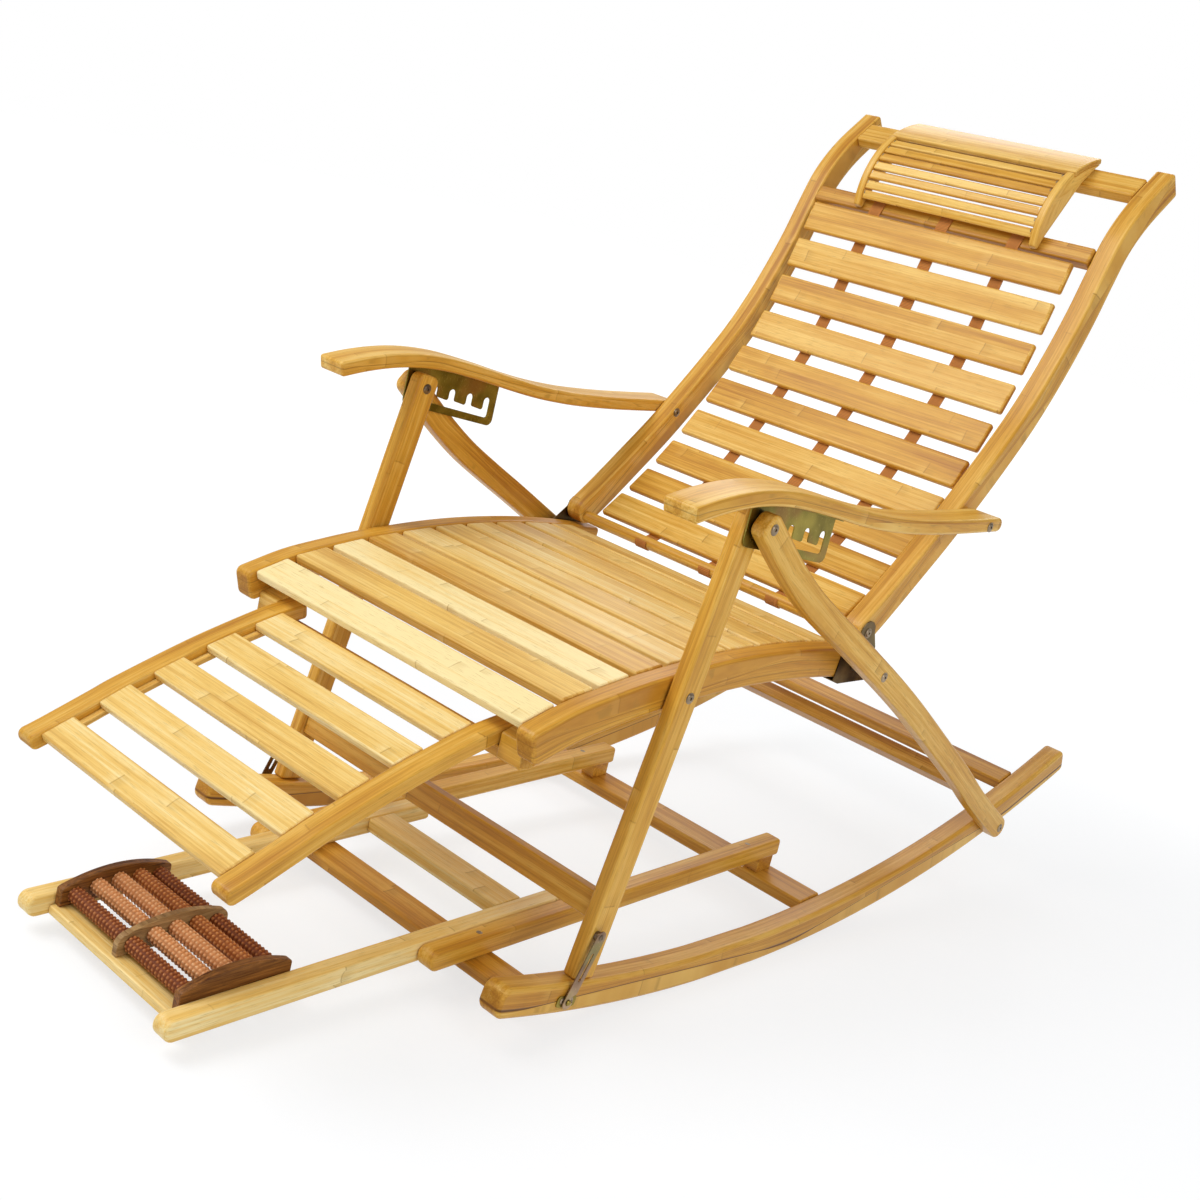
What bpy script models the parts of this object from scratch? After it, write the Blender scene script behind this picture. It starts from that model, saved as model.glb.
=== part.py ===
"""Bamboo rocker recliner: folding frame on two rockers, slatted back, calf rest and foot massager."""
import math

import bmesh
import bpy
from mathutils import Vector

# All lengths in metres. The feet point to -Y, the head to +Y, and z = 0 is the floor.
# Side curves are lists of (y, z) points; the part is mirrored about x = 0.

gap = 0.0003             # left between pieces that touch
barRound = 0.0024        # rounding of the long edges of the bars

# Lateral stack, from the middle outwards.
railIn, railWide = 0.238, 0.029           # seat rails and back rails
legIn, legWide = 0.269, 0.020             # front legs
combGap = 0.004                           # room for the comb plate between the crossed legs
rearWide = 0.022
rockerIn, rockerWide = 0.2595, 0.033
armIn, armWide = 0.2685, 0.048
calfIn, calfWide = 0.171, 0.029
slideIn, slideWide = 0.123, 0.026         # sliding foot bars
guideIn, guideWide = 0.1494, 0.027        # fixed foot bars beside them
rearIn = legIn + legWide + combGap

# Pivots, seen from the side.
legTop = (-0.238, 0.606)
legSeat = (-0.2745, 0.4)
rearSeat = (0.091, 0.405)
backHinge = (0.102, 0.447)
armPivot = (0.247, 0.605)
rockerPivot = (0.578, 0.113)
linkPivot = (-0.333, 0.115)
linkCatch = (-0.3635, 0.040)

# Rockers: one arc, with a short flat where the chair stands.
rockRadius, rockDeep = 2.12, 0.038
rockLow, rockStand, rockStep = -0.045, 0.060, 0.0265
rockFront, rockRear = -0.4785, 0.7988

# Seat.
seatTop = [(-0.486, 0.372), (-0.430, 0.391), (-0.380, 0.402), (-0.320, 0.413), (-0.260, 0.421), (-0.200, 0.4275),
           (-0.140, 0.4315), (-0.080, 0.433), (-0.020, 0.4325), (0.040, 0.4295), (0.090, 0.4255), (0.130, 0.4215)]
seatDeep = 0.040
seatSlats, seatSlatWide, seatSlatThick = 10, 0.048, 0.012
seatSlatFirst, seatSlatLast = -0.462, 0.0485
stripWide, stripThick = 0.0090, 0.0080
supportY = (-0.4700, -0.4500)

# Back.
backFront = [(0.5685, 1.1045), (0.511, 1.052), (0.474, 1.003), (0.452, 0.950), (0.434, 0.900), (0.412, 0.850),
             (0.386, 0.800), (0.353, 0.747), (0.313, 0.695), (0.270, 0.644), (0.222, 0.590), (0.170, 0.538),
             (0.122, 0.491), (0.0885, 0.4605)]
backDeep = 0.038
backSlatMid = [(0.4290, 0.9345), (0.4110, 0.8760), (0.3920, 0.8175), (0.3680, 0.7600), (0.3360, 0.7040),
               (0.3010, 0.6510), (0.2620, 0.5995), (0.2200, 0.5505), (0.1755, 0.5065), (0.1290, 0.4685)]
backSlatHalf, backSlatWide, backSlatThick = 0.224, 0.046, 0.010
strapWide, strapThick, strapAt = 0.020, 0.0015, (-0.120, 0.0, 0.120)
topBar = ((0.5525, 1.0920), (0.5215, 1.0650))      # front face of the top crossbar, upper and lower edge
strapBar = ((0.4625, 0.9830), (0.4495, 0.9600))
topBarThick, strapBarThick = 0.018, 0.020
lowBar, lowBarRadius = (0.098, 0.440), 0.0085

# Headrest.
restHalf, cheekThick = 0.158, 0.012
restFront = [(0.4420, 0.9660), (0.4410, 0.9880), (0.4460, 1.0140), (0.4580, 1.0400), (0.4760, 1.0630),
             (0.5000, 1.0820), (0.5300, 1.0970), (0.5600, 1.1070)]
restSlats, restSlatWide, restSlatThick, restInset = 7, 0.0130, 0.006, 0.0022
restSlatFirst, restSlatPitch, restBoardAt, restBoardThick = 0.0165, 0.0165, 0.1280, 0.008

# Armrests and comb plates.
armTop = [(-0.3820, 0.6320), (-0.3500, 0.6400), (-0.3150, 0.6465), (-0.2800, 0.6505), (-0.2450, 0.6515),
          (-0.2050, 0.6495), (-0.1650, 0.6445), (-0.1200, 0.6375), (-0.0800, 0.6305), (-0.0300, 0.6230),
          (0.0150, 0.6185), (0.0650, 0.6155), (0.1400, 0.6145), (0.2100, 0.6155), (0.2700, 0.6170)]
armDeep = 0.019
combPitch, combNotches, combDrop, combSlot, combThick = 0.0335, 5, 0.0040, 0.0075, 0.0016
combFront, combRear, combLow, combSlope, combCorner = -0.2570, -0.0860, 0.5550, 0.145, 0.0090
combStrip, combChannel, combFlange = 0.0105, 0.0095, 0.0130

# Legs.
frontDeep, legCrown, stretcherZ, rearStretcherY = 0.0355, 0.0180, 0.1410, 0.4370
rearPath = [legTop, (-0.180, 0.5600), (-0.120, 0.5190), (-0.060, 0.4860), (0.000, 0.4550), (0.060, 0.4230),
            (0.120, 0.3910), (0.180, 0.3575), (0.240, 0.3220), (0.320, 0.2730), (0.400, 0.2240), (0.480, 0.1710),
            rockerPivot]
rearDeep = 0.034

# Calf rest.
calfTop = [(-0.7880, 0.2160), (-0.7680, 0.2250), (-0.7150, 0.2510), (-0.6840, 0.2665), (-0.6000, 0.3030),
           (-0.5400, 0.3255), (-0.4900, 0.3420), (-0.4450, 0.3520)]
calfDeep = 0.0185
calfSlatAt, calfSlatWide, calfSlatThick = (-0.764, -0.699, -0.634, -0.569, -0.5045), 0.041, 0.010

# Foot frame: every bar lies along one line that rises gently to the rear.
footSlope, footLineZ, footLineY, footDeep = 0.05, 0.0355, -0.45, 0.025
slideFront, slideRear = -0.7945, -0.2100
guideFront, guideRear = -0.4680, 0.1940
footBoardUp, footBoardThick = 0.0130, 0.0110
rollerRows, rollerPitch, rollerRadius = 5, 0.0263, 0.0110
rollerIn, rollerOut, cheekIn = 0.0045, 0.1106, 0.1112
rollerUp, rollerArch = 0.0190, 0.0062
journalRadius, journalRoom, journalLong = 0.0024, 0.00008, 0.0060
archEnd, archMid, archFront, archRear = 0.0215, 0.0345, -0.7640, -0.6250

# Brackets, links and catches.
plateThick, earIn, earOut, earHalf = 0.0012, railIn + railWide + gap, railIn + railWide + gap + 0.0012, 0.0165
shoeFront, shoeRear, shoeLip = 0.0500, 0.1280, 0.0160
spacerRadius, spacerIn = 0.0090, earOut + gap
linkIn, linkThick, linkWide, studRadius = 0.2955, 0.0014, 0.0160, 0.0035

# Fasteners.
boltShaft, boltHead, boltHeadThick, boltRoom = 0.0030, 0.0062, 0.0030, 0.00007


def clear():
    for o in list(bpy.data.objects):
        bpy.data.objects.remove(o)


def material(name, colour, rough, metal=0.0):
    m = bpy.data.materials.new(name)
    m.use_nodes = True
    p = m.node_tree.nodes["Principled BSDF"]
    p.inputs["Base Color"].default_value = (*colour, 1)
    p.inputs["Roughness"].default_value = rough
    p.inputs["Metallic"].default_value = metal
    m.diffuse_color = (*colour, 1)
    return m


honey, pale, amber = (0.62, 0.36, 0.11), (0.75, 0.52, 0.23), (0.50, 0.25, 0.06)
walnut, ash, terracotta = (0.12, 0.055, 0.022), (0.30, 0.20, 0.10), (0.42, 0.13, 0.045)
russet, webbing = (0.25, 0.065, 0.025), (0.50, 0.20, 0.055)
zinc, olive, steel, black = (0.42, 0.40, 0.20), (0.10, 0.12, 0.045), (0.14, 0.13, 0.12), (0.02, 0.02, 0.02)


def add(name, bm, colour, rough=0.45, metal=0.0, pivot=(0, 0, 0)):
    """Turn the mesh into an object whose origin is the pivot."""
    bmesh.ops.recalc_face_normals(bm, faces=bm.faces)
    bmesh.ops.translate(bm, verts=bm.verts, vec=-Vector(pivot))
    me = bpy.data.meshes.new(name)
    bm.to_mesh(me)
    bm.free()
    o = bpy.data.objects.new(name, me)
    bpy.context.collection.objects.link(o)
    o.location = pivot
    me.materials.append(material(name, colour, rough, metal))
    me.shade_smooth()
    me.set_sharp_from_angle(angle=math.radians(32))
    return o


def bevel(o, width, steps=1):
    m = o.modifiers.new("round", "BEVEL")
    m.width, m.segments = width, steps
    m.limit_method, m.angle_limit = "ANGLE", math.radians(38)
    m.use_clamp_overlap = True
    return o


def smooth(points, count):
    """Even points along a smooth curve through the given points."""
    fine = []
    p = [Vector(q) for q in points]
    p = [2 * p[0] - p[1]] + p + [2 * p[-1] - p[-2]]
    for a, b, c, d in zip(p, p[1:], p[2:], p[3:]):
        for k in range(12):
            t = k / 12
            fine.append(0.5 * (2 * b + (c - a) * t + (2 * a - 5 * b + 4 * c - d) * t * t
                               + (3 * b - a - 3 * c + d) * t ** 3))
    fine.append(p[-2])
    along = [0.0]
    for a, b in zip(fine, fine[1:]):
        along.append(along[-1] + (b - a).length)
    out, j = [], 0
    for k in range(count + 1):
        s = along[-1] * k / count
        while j < len(fine) - 2 and along[j + 1] < s:
            j += 1
        t = (s - along[j]) / (along[j + 1] - along[j])
        out.append(fine[j].lerp(fine[j + 1], min(t, 1.0)))
    return out


def normals(path):
    """Unit normals to the left of the path's direction."""
    out = []
    for k in range(len(path)):
        t = path[min(k + 1, len(path) - 1)] - path[max(k - 1, 0)]
        t.normalize()
        out.append(Vector((-t.y, t.x)))
    return out


def shifted(path, distance):
    return [p + n * distance for p, n in zip(path, normals(path))]


def cap(at, along, half, radius, steps=3):
    """End of a bar from its left corner round to its right one."""
    left = Vector((-along.y, along.x))
    out = []
    for side in (1, -1):
        centre = at + left * side * (half - radius)
        for k in range(steps + 1):
            a = math.radians(90 * k / steps)
            if side < 0:
                a = math.radians(90) - a
            out.append(centre + along * radius * math.sin(a) + left * side * radius * math.cos(a))
    return out


def ribbon(path, deep, startRound=0.006, endRound=0.006, steps=3):
    """Outline of a bar of even depth whose ends reach past the path by their rounding."""
    h = deep / 2
    left, right = shifted(path, h), shifted(path, -h)
    first = (path[0] - path[1]).normalized()
    last = (path[-1] - path[-2]).normalized()
    tail = cap(path[-1], last, h, endRound, steps)
    head = cap(path[0], first, h, startRound, steps)
    outline = left[1:-1] + tail + list(reversed(right[1:-1])) + head
    keep = []
    for p in outline:
        if not keep or (p - keep[-1]).length > 1e-5:
            keep.append(p)
    if (keep[0] - keep[-1]).length < 1e-5:
        keep.pop()
    return keep


def prism(bm, outline, x0, x1):
    """Solid with the given side outline between two x planes."""
    lo, hi = min(x0, x1), max(x0, x1)
    a = [bm.verts.new((lo, p[0], p[1])) for p in outline]
    b = [bm.verts.new((hi, p[0], p[1])) for p in outline]
    bm.faces.new(a)
    bm.faces.new(list(reversed(b)))
    for k in range(len(outline)):
        j = (k + 1) % len(outline)
        bm.faces.new((a[k], b[k], b[j], a[j]))


def tube(bm, y, z, radius, x0, x1, steps=16):
    outline = [(y + radius * math.cos(math.tau * k / steps), z + radius * math.sin(math.tau * k / steps))
               for k in range(steps)]
    prism(bm, outline, x0, x1)


def plank(bm, centre, along, wide, thick, x0, x1):
    """Board seen end-on: centre of its front face, direction of its width, thickness behind it."""
    c, t = Vector(centre), Vector(along).normalized()
    n = Vector((t.y, -t.x))
    prism(bm, [c - t * wide / 2, c + t * wide / 2, c + t * wide / 2 + n * thick, c - t * wide / 2 + n * thick],
          x0, x1)


def operand(o, bm, operation):
    """Cut the shapes out of the object, or join them to it."""
    bmesh.ops.recalc_face_normals(bm, faces=bm.faces)
    me = bpy.data.meshes.new(o.name + "_operand")
    bm.to_mesh(me)
    bm.free()
    other = bpy.data.objects.new(o.name + "_operand", me)
    bpy.context.collection.objects.link(other)
    other.hide_render = True
    other.display_type = "WIRE"
    m = o.modifiers.new(operation.lower(), "BOOLEAN")
    m.operation, m.solver, m.object = operation, "EXACT", other
    return o


def bored(o, holes, x0, x1, radius=boltShaft, room=boltRoom, steps=16):
    """Round holes along x whose flats clear a shaft of the given radius."""
    bm = bmesh.new()
    for y, z in holes:
        tube(bm, y, z, (radius + room) / math.cos(math.pi / steps), x0, x1, steps)
    return operand(o, bm, "DIFFERENCE")


def turned(bm, y, z, rings, steps=12):
    """Solid of revolution about an axis along x, from (x, radius) pairs."""
    loops = []
    for x, r in rings:
        loops.append([bm.verts.new((x, y + r * math.cos(math.tau * k / steps),
                                    z + r * math.sin(math.tau * k / steps))) for k in range(steps)])
    for p, q in zip(loops, loops[1:]):
        for k in range(steps):
            j = (k + 1) % steps
            bm.faces.new((p[k], q[k], q[j], p[j]))
    bm.faces.new(loops[0])
    bm.faces.new(loops[-1])


def bolt(bm, y, z, s, face, end, nut=0.0):
    """Bolt whose head stands on an outer face and whose shaft runs inwards, with a nut if it has a thickness."""
    rings = [(s * (face + boltHeadThick), boltHead * 0.82), (s * (face + boltHeadThick * 0.75), boltHead),
             (s * face, boltHead), (s * face, boltShaft), (s * end, boltShaft)]
    if nut:
        rings += [(s * end, boltHead), (s * (end - nut), boltHead)]
    turned(bm, y, z, rings, 12)


def side(s, inner, wide):
    return s * inner, s * (inner + wide)


def at3(point, x=0.0):
    return (x, point[0], point[1])


def footLine(y):
    """Underside of the foot bars."""
    return footLineZ + footSlope * (y - footLineY)


def rockArc(y, up=0.0):
    """Angle of the rocker's arc at a given y, on the line `up` above its underside."""
    return math.asin((y - rockLow) / (rockRadius - up))


rockCentre = rockRadius * math.cos(rockStand / rockRadius)
clear()


# Rocker base.
def rockerPath():
    """Middle line of the rocker, with one level facet at the lowest point."""
    first, last = rockArc(rockFront + 0.014), rockArc(rockRear - 0.010)
    stand = rockStand / rockRadius
    fore, aft = math.ceil((-stand - first) / rockStep), math.ceil((last - stand) / rockStep)
    angles = [first + (-stand - first) * k / fore for k in range(fore + 1)]
    angles += [stand + (last - stand) * k / aft for k in range(aft + 1)]
    r = rockRadius - rockDeep / 2
    return [Vector((rockLow + r * math.sin(a), rockCentre - r * math.cos(a))) for a in angles]


def rockerAt(y, up):
    """Point of the rocker `up` above its underside."""
    return Vector((y, rockCentre - (rockRadius - up) * math.cos(rockArc(y, up))))


for s, tag in ((1, "left"), (-1, "right")):
    bm = bmesh.new()
    prism(bm, ribbon(rockerPath(), rockDeep, 0.014, 0.010), *side(s, rockerIn, rockerWide))
    o = bevel(add("rocker_" + tag, bm, honey), 0.0040, 2)
    bored(o, [rockerPivot], *side(s, rockerIn - 0.01, rockerWide + 0.02))

half = rockerIn - gap
frontBarY, frontBarWide, midBarY, midBarWide, rearBarY, rearBarWide = -0.3880, 0.045, 0.1690, 0.045, 0.6700, 0.036
frontBarThick, barThick, barInset = 0.0140, 0.0180, rockDeep - 0.0010

bm = bmesh.new()
ends = [frontBarY - frontBarWide / 2, frontBarY + frontBarWide / 2]
prism(bm, [(y, footLine(y) - gap - frontBarThick) for y in ends] + [(y, footLine(y) - gap) for y in reversed(ends)],
      -half, half)
bevel(add("rocker_crossbar_front", bm, honey), 0.0018)

for name, y, wide in (("rocker_crossbar_middle", midBarY, midBarWide), ("rocker_crossbar_rear", rearBarY, rearBarWide)):
    bm = bmesh.new()
    c = rockerAt(y, barInset)
    a = rockArc(y)
    plank(bm, c, (math.cos(a), math.sin(a)), wide, barThick, -half, half)
    bevel(add(name, bm, amber), 0.0018)

# Fixed foot bars: they lie on the front crossbar, and on the middle one through a riser of one piece with each.
riserHalf = 0.016
for s, tag in ((1, "left"), (-1, "right")):
    bm = bmesh.new()
    path = [Vector((y, footLine(y) + footDeep / 2)) for y in (guideFront + 0.009, guideRear - 0.005)]
    bar = ribbon(path, footDeep, 0.009, 0.005)
    corner = max(range(len(bar)), key=lambda k: bar[k].x - 4 * bar[k].y)
    a, b = midBarY - riserHalf, midBarY + riserHalf
    c = rockerAt(midBarY, barInset)
    low = [c.y + math.tan(rockArc(midBarY)) * (y - c.x) + gap for y in (b, a)]
    riser = [Vector((b, footLine(b))), Vector((b, low[0])), Vector((a, low[1])), Vector((a, footLine(a)))]
    prism(bm, bar[:corner + 1] + riser + bar[corner + 1:], *side(s, guideIn, guideWide))
    bevel(add("foot_guide_" + tag, bm, honey), 0.0020)

# Foot frame that slides between the fixed bars.
slideHalf = slideIn - gap
for s, tag in ((1, "left"), (-1, "right")):
    bm = bmesh.new()
    path = [Vector((y, footLine(y) + footDeep / 2)) for y in (slideFront + 0.009, slideRear - 0.005)]
    prism(bm, ribbon(path, footDeep, 0.009, 0.005), *side(s, slideIn, slideWide))
    bevel(add("foot_slide_" + tag, bm, pale), 0.0020)

for name, y0, y1, up, thick in (("foot_board_front", archFront - 0.0060, archFront + 0.0290, footBoardUp, footBoardThick),
                                ("foot_board_rear", archRear - 0.0230, archRear + 0.0090, footBoardUp, footBoardThick),
                                ("foot_slide_crossbar", -0.3200, -0.2780, footDeep - 0.001, barThick)):
    bm = bmesh.new()
    prism(bm, [(y0, footLine(y0) + up - thick), (y1, footLine(y1) + up - thick),
               (y1, footLine(y1) + up), (y0, footLine(y0) + up)], -slideHalf, slideHalf)
    bevel(add(name, bm, pale), 0.0015)


def archHeight(y):
    """Height of the massager's side plates above the boards."""
    t = 2 * (y - archFront) / (archRear - archFront) - 1
    return archEnd + (archMid - archEnd) * (1 - t * t)


def archBase(y):
    return footLine(y) + footBoardUp + gap


def rollerCentre(row):
    t = (row - (rollerRows - 1) / 2) / ((rollerRows - 1) / 2)
    y = (archFront + archRear) / 2 + rollerPitch * (row - (rollerRows - 1) / 2)
    return y, archBase(y) + rollerUp - rollerArch * t * t


axles = [rollerCentre(row) for row in range(rollerRows)]
archOutline = [(archFront, archBase(archFront)), (archRear, archBase(archRear))]
for k in range(15):
    y = archRear + (archFront - archRear) * (0.5 - 0.5 * math.cos(math.pi * k / 14))
    archOutline.append((y, archBase(y) + archHeight(y)))
for name, x0, x1, colour in (("massager_cheek_left", cheekIn, slideHalf - gap, walnut),
                             ("massager_cheek_right", gap - slideHalf, -cheekIn, walnut),
                             ("massager_middle", gap - rollerIn, rollerIn - gap, ash)):
    bm = bmesh.new()
    prism(bm, archOutline, x0, x1)
    o = bevel(add(name, bm, colour), 0.0010)
    bored(o, axles, x0 - 0.005, x1 + 0.005, journalRadius, journalRoom, 12)

half = [(rollerIn, journalRadius), (rollerIn, rollerRadius * 0.85), (rollerIn + 0.003, rollerRadius),
        (rollerOut - 0.003, rollerRadius), (rollerOut, rollerRadius * 0.85), (rollerOut, journalRadius),
        (cheekIn + journalLong, journalRadius)]
for row, (y, z) in enumerate(axles):
    bm = bmesh.new()
    turned(bm, y, z, [(-x, r) for x, r in reversed(half)] + half, 12)
    add("massage_roller_%d" % (row + 1), bm, russet if row in (0, 4) else terracotta, 0.5, pivot=(0, y, z))

# Seat frame.
seatPath = shifted(smooth(seatTop, 16), -seatDeep / 2)
for s, tag in ((1, "left"), (-1, "right")):
    bm = bmesh.new()
    prism(bm, ribbon(seatPath, seatDeep, 0.006, 0.006), *side(s, railIn, railWide))
    o = bevel(add("seat_rail_" + tag, bm, honey, pivot=at3(rockerPivot)), barRound)
    bored(o, [legSeat, rearSeat], *side(s, railIn - 0.01, railWide + 0.02))

seatFine = smooth(seatTop, 200)


def onCurve(fine, y):
    """Point and direction of a fine curve at a given y."""
    k = min(range(1, len(fine) - 1), key=lambda i: abs(fine[i].x - y))
    return fine[k], (fine[k + 1] - fine[k - 1]).normalized()


bm = bmesh.new()
for k in range(seatSlats):
    y = seatSlatFirst + (seatSlatLast - seatSlatFirst) * k / (seatSlats - 1)
    p, t = onCurve(seatFine, y)
    plank(bm, p, t, seatSlatWide, seatSlatThick, -railIn + gap, railIn - gap)
o = bevel(add("seat_slats", bm, pale, pivot=at3(rockerPivot)), 0.0016)
# Ledger strips under the slats' ends, beside the rails.
strip = shifted([seatFine[k] for k in range(4, 178, 8)], -(seatSlatThick + stripThick / 2 - 0.0010))
bm = bmesh.new()
for s in (1, -1):
    prism(bm, ribbon(strip, stripThick, 0.002, 0.002, 1), s * (railIn - gap - stripWide), s * (railIn - gap))
operand(o, bm, "UNION")

# Front legs, each with its seat bolt and, at the top, the nut of the crossing bolt.
lean = (Vector(legSeat) - Vector(legTop)).normalized()
for s, tag in ((1, "left"), (-1, "right")):
    bm = bmesh.new()
    h = frontDeep / 2
    across = Vector((-lean.y, lean.x))
    # The foot is cut to stand on the rocker.
    ends = []
    for d in (-h, h):
        p = Vector(legTop) + across * d
        while p.y > rockerAt(p.x, rockDeep + 0.0005).y:
            p = p + lean * 0.0001
        ends.append(p - lean * 0.0001)
    crown = cap(Vector(legTop) - lean * (legCrown - 0.010), -lean, h, 0.010, 4)
    if (crown[0] - ends[1]).length > (crown[-1] - ends[1]).length:
        crown.reverse()
    prism(bm, ends + crown, *side(s, legIn, legWide))
    o = bevel(add("front_leg_" + tag, bm, honey, pivot=at3(rockerPivot)), barRound)
    bm = bmesh.new()
    bolt(bm, *legSeat, s, legIn + legWide, railIn + 0.0020)
    turned(bm, *legTop, [(s * (legIn - 0.0030), boltHead), (s * (legIn + 0.0100), boltHead)])
    operand(o, bm, "UNION")
    bored(o, [linkPivot], *side(s, legIn - 0.01, legWide + 0.02))

# Rear legs, each with the bolt and spacer that carry the seat rail, and the head of the crossing bolt.
rearLine = smooth(rearPath, 20)
for s, tag in ((1, "left"), (-1, "right")):
    bm = bmesh.new()
    prism(bm, ribbon(rearLine, rearDeep, 0.0165, 0.0165, 4), *side(s, rearIn, rearWide))
    o = bevel(add("rear_leg_" + tag, bm, honey, pivot=at3(rockerPivot)), barRound)
    rearOut = rearIn + rearWide
    head = [(s * (rearOut + boltHeadThick), boltHead * 0.82), (s * (rearOut + boltHeadThick * 0.75), boltHead)]
    bm = bmesh.new()
    turned(bm, *rearSeat, head + [(s * (rearOut - 0.005), boltHead), (s * (rearOut - 0.005), spacerRadius),
                                  (s * spacerIn, spacerRadius), (s * spacerIn, boltShaft),
                                  (s * (railIn + 0.0020), boltShaft)])
    turned(bm, *legTop, head + [(s * (rearOut - 0.005), boltHead)])
    operand(o, bm, "UNION")
    bored(o, [rockerPivot], *side(s, rearIn - 0.01, rearWide + 0.02))
    bm = bmesh.new()
    bolt(bm, *rockerPivot, s, rearOut + gap, rockerIn + 0.0020)
    add("rocker_bolt_" + tag, bm, steel, 0.4, 0.9, pivot=at3(rockerPivot))

stretcherMid = Vector(legTop) + lean * ((legTop[1] - stretcherZ) / -lean.y)
bm = bmesh.new()
plank(bm, stretcherMid + Vector((lean.y, -lean.x)) * 0.010, -lean, 0.032, 0.020, -legIn + gap, legIn - gap)
bevel(add("front_leg_stretcher", bm, amber, pivot=at3(rockerPivot)), 0.0018)
p, t = onCurve(smooth(rearPath, 200), rearStretcherY)
bm = bmesh.new()
plank(bm, p - Vector((t.y, -t.x)) * 0.011, t, 0.032, 0.022, -rearIn + gap, rearIn - gap)
bevel(add("rear_leg_stretcher", bm, amber, pivot=at3(rockerPivot)), 0.0018)

# Hinge brackets: a shoe round the underside of the seat rail's end, with an ear that carries the back's bolt.
railTail = [p for p in seatPath if p.x > shoeFront - 0.004]
for s, tag in ((1, "left"), (-1, "right")):
    low, rear = min(p.y for p in railTail) - seatDeep / 2 - gap - plateThick, shoeRear
    ear = [(shoeFront, low + 0.0040), (shoeFront + 0.012, low), (rear, low), (rear + 0.004, low + 0.012),
           (rear + 0.002, low + 0.046), (backHinge[0] + earHalf, backHinge[1])]
    ear += [(backHinge[0] + earHalf * math.cos(math.radians(a)), backHinge[1] + earHalf * math.sin(math.radians(a)))
            for a in range(30, 180, 30)]
    ear += [(backHinge[0] - earHalf, backHinge[1]), (shoeFront + 0.004, low + 0.040)]
    bm = bmesh.new()
    prism(bm, ear, s * earIn, s * earOut)
    o = add("hinge_bracket_" + tag, bm, olive, 0.35, 0.9, pivot=at3(rockerPivot))
    bm = bmesh.new()
    inner = railIn - gap - plateThick
    section = [(earOut - 0.0002, low), (inner, low), (inner, low + shoeLip), (inner + plateThick, low + shoeLip),
               (inner + plateThick, low + plateThick), (earOut - 0.0002, low + plateThick)]
    a = [bm.verts.new((s * x, shoeFront + 0.012, z)) for x, z in section]
    b = [bm.verts.new((s * x, rear, z)) for x, z in section]
    bm.faces.new(a)
    bm.faces.new(b)
    for k in range(len(section)):
        j = (k + 1) % len(section)
        bm.faces.new((a[k], a[j], b[j], b[k]))
    operand(o, bm, "UNION")
    bored(o, [backHinge, rearSeat], *side(s, railIn - 0.01, railWide + 0.02))
    bm = bmesh.new()
    bolt(bm, *backHinge, s, earOut + gap, railIn + 0.0010)
    add("hinge_bolt_" + tag, bm, steel, 0.4, 0.9, pivot=at3(backHinge))

# Crossbar and side blocks under the seat's nose, between which the calf rest slides.
bm = bmesh.new()
restZ = min(p.y for p in shifted(smooth(calfTop, 80), -calfDeep) if supportY[0] <= p.x) - gap
prism(bm, [(supportY[0], restZ - 0.014), (supportY[1], restZ - 0.014), (supportY[1], restZ), (supportY[0], restZ)],
      gap - railIn, railIn - gap)
o = bevel(add("calf_support", bm, pale, pivot=at3(rockerPivot)), 0.0012)
bm = bmesh.new()
for s in (1, -1):
    prism(bm, [(supportY[0] - 0.012, restZ - 0.010), (supportY[1] + 0.004, restZ - 0.010),
               (supportY[1] + 0.004, restZ + 0.0260), (supportY[0] - 0.012, restZ + 0.0140)],
          s * (calfIn + calfWide + 0.0020), s * (railIn - 0.0004))
operand(o, bm, "UNION")

# Back.
h = backDeep / 2
backMid = shifted(smooth(backFront, 26), h)
backMid[-1] = Vector(backHinge)
for s, tag in ((1, "left"), (-1, "right")):
    bm = bmesh.new()
    prism(bm, ribbon(backMid, backDeep, 0.005, h, 4), *side(s, railIn, railWide))
    o = bevel(add("back_rail_" + tag, bm, honey, pivot=at3(backHinge)), barRound)
    bored(o, [backHinge, armPivot], *side(s, railIn - 0.01, railWide + 0.02))


def slatLines():
    """Middle and direction of each back slat, from the smooth line of their faces."""
    fine = smooth(backSlatMid, 200)
    out = []
    for q in backSlatMid:
        k = min(range(1, len(fine) - 1), key=lambda i: (fine[i] - Vector(q)).length)
        out.append((Vector(q), (fine[k + 1] - fine[k - 1]).normalized()))
    return out


def behind(t, distance):
    """Offset to the rear of a line that runs down the back."""
    return Vector((-t.y, t.x)) * distance


bm = bmesh.new()
slats = slatLines()
for q, t in slats:
    plank(bm, q, -t, backSlatWide, backSlatThick, -backSlatHalf, backSlatHalf)
o = bevel(add("back_slats", bm, honey, pivot=at3(backHinge)), 0.0014)
# Three webbing straps behind the slats, from the upper crossbar's front to round the lowest one.
c2 = [Vector(p) for p in strapBar]
up2 = (c2[0] - c2[1]).normalized()
front2 = Vector((-up2.y, up2.x))
off = gap + strapThick / 2
strap = [c2[0] - front2 * (strapBarThick * 0.7) + up2 * off, c2[0] + front2 * off + up2 * off, c2[1] + front2 * off]
for q, t in slats:
    c = q + behind(t, backSlatThick + strapThick / 2 - 0.0002)
    strap += [c - t * 0.017, c + t * 0.017]
wrap = lowBarRadius + off
strap += [Vector(lowBar) + Vector((math.cos(math.radians(a)), math.sin(math.radians(a)))) * wrap
          for a in range(20, -200, -20)]
bm = bmesh.new()
for x in strapAt:
    prism(bm, ribbon(strap, strapThick, 0.0004, 0.0004, 1), x - strapWide / 2, x + strapWide / 2)
operand(o, bm, "UNION")

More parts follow.
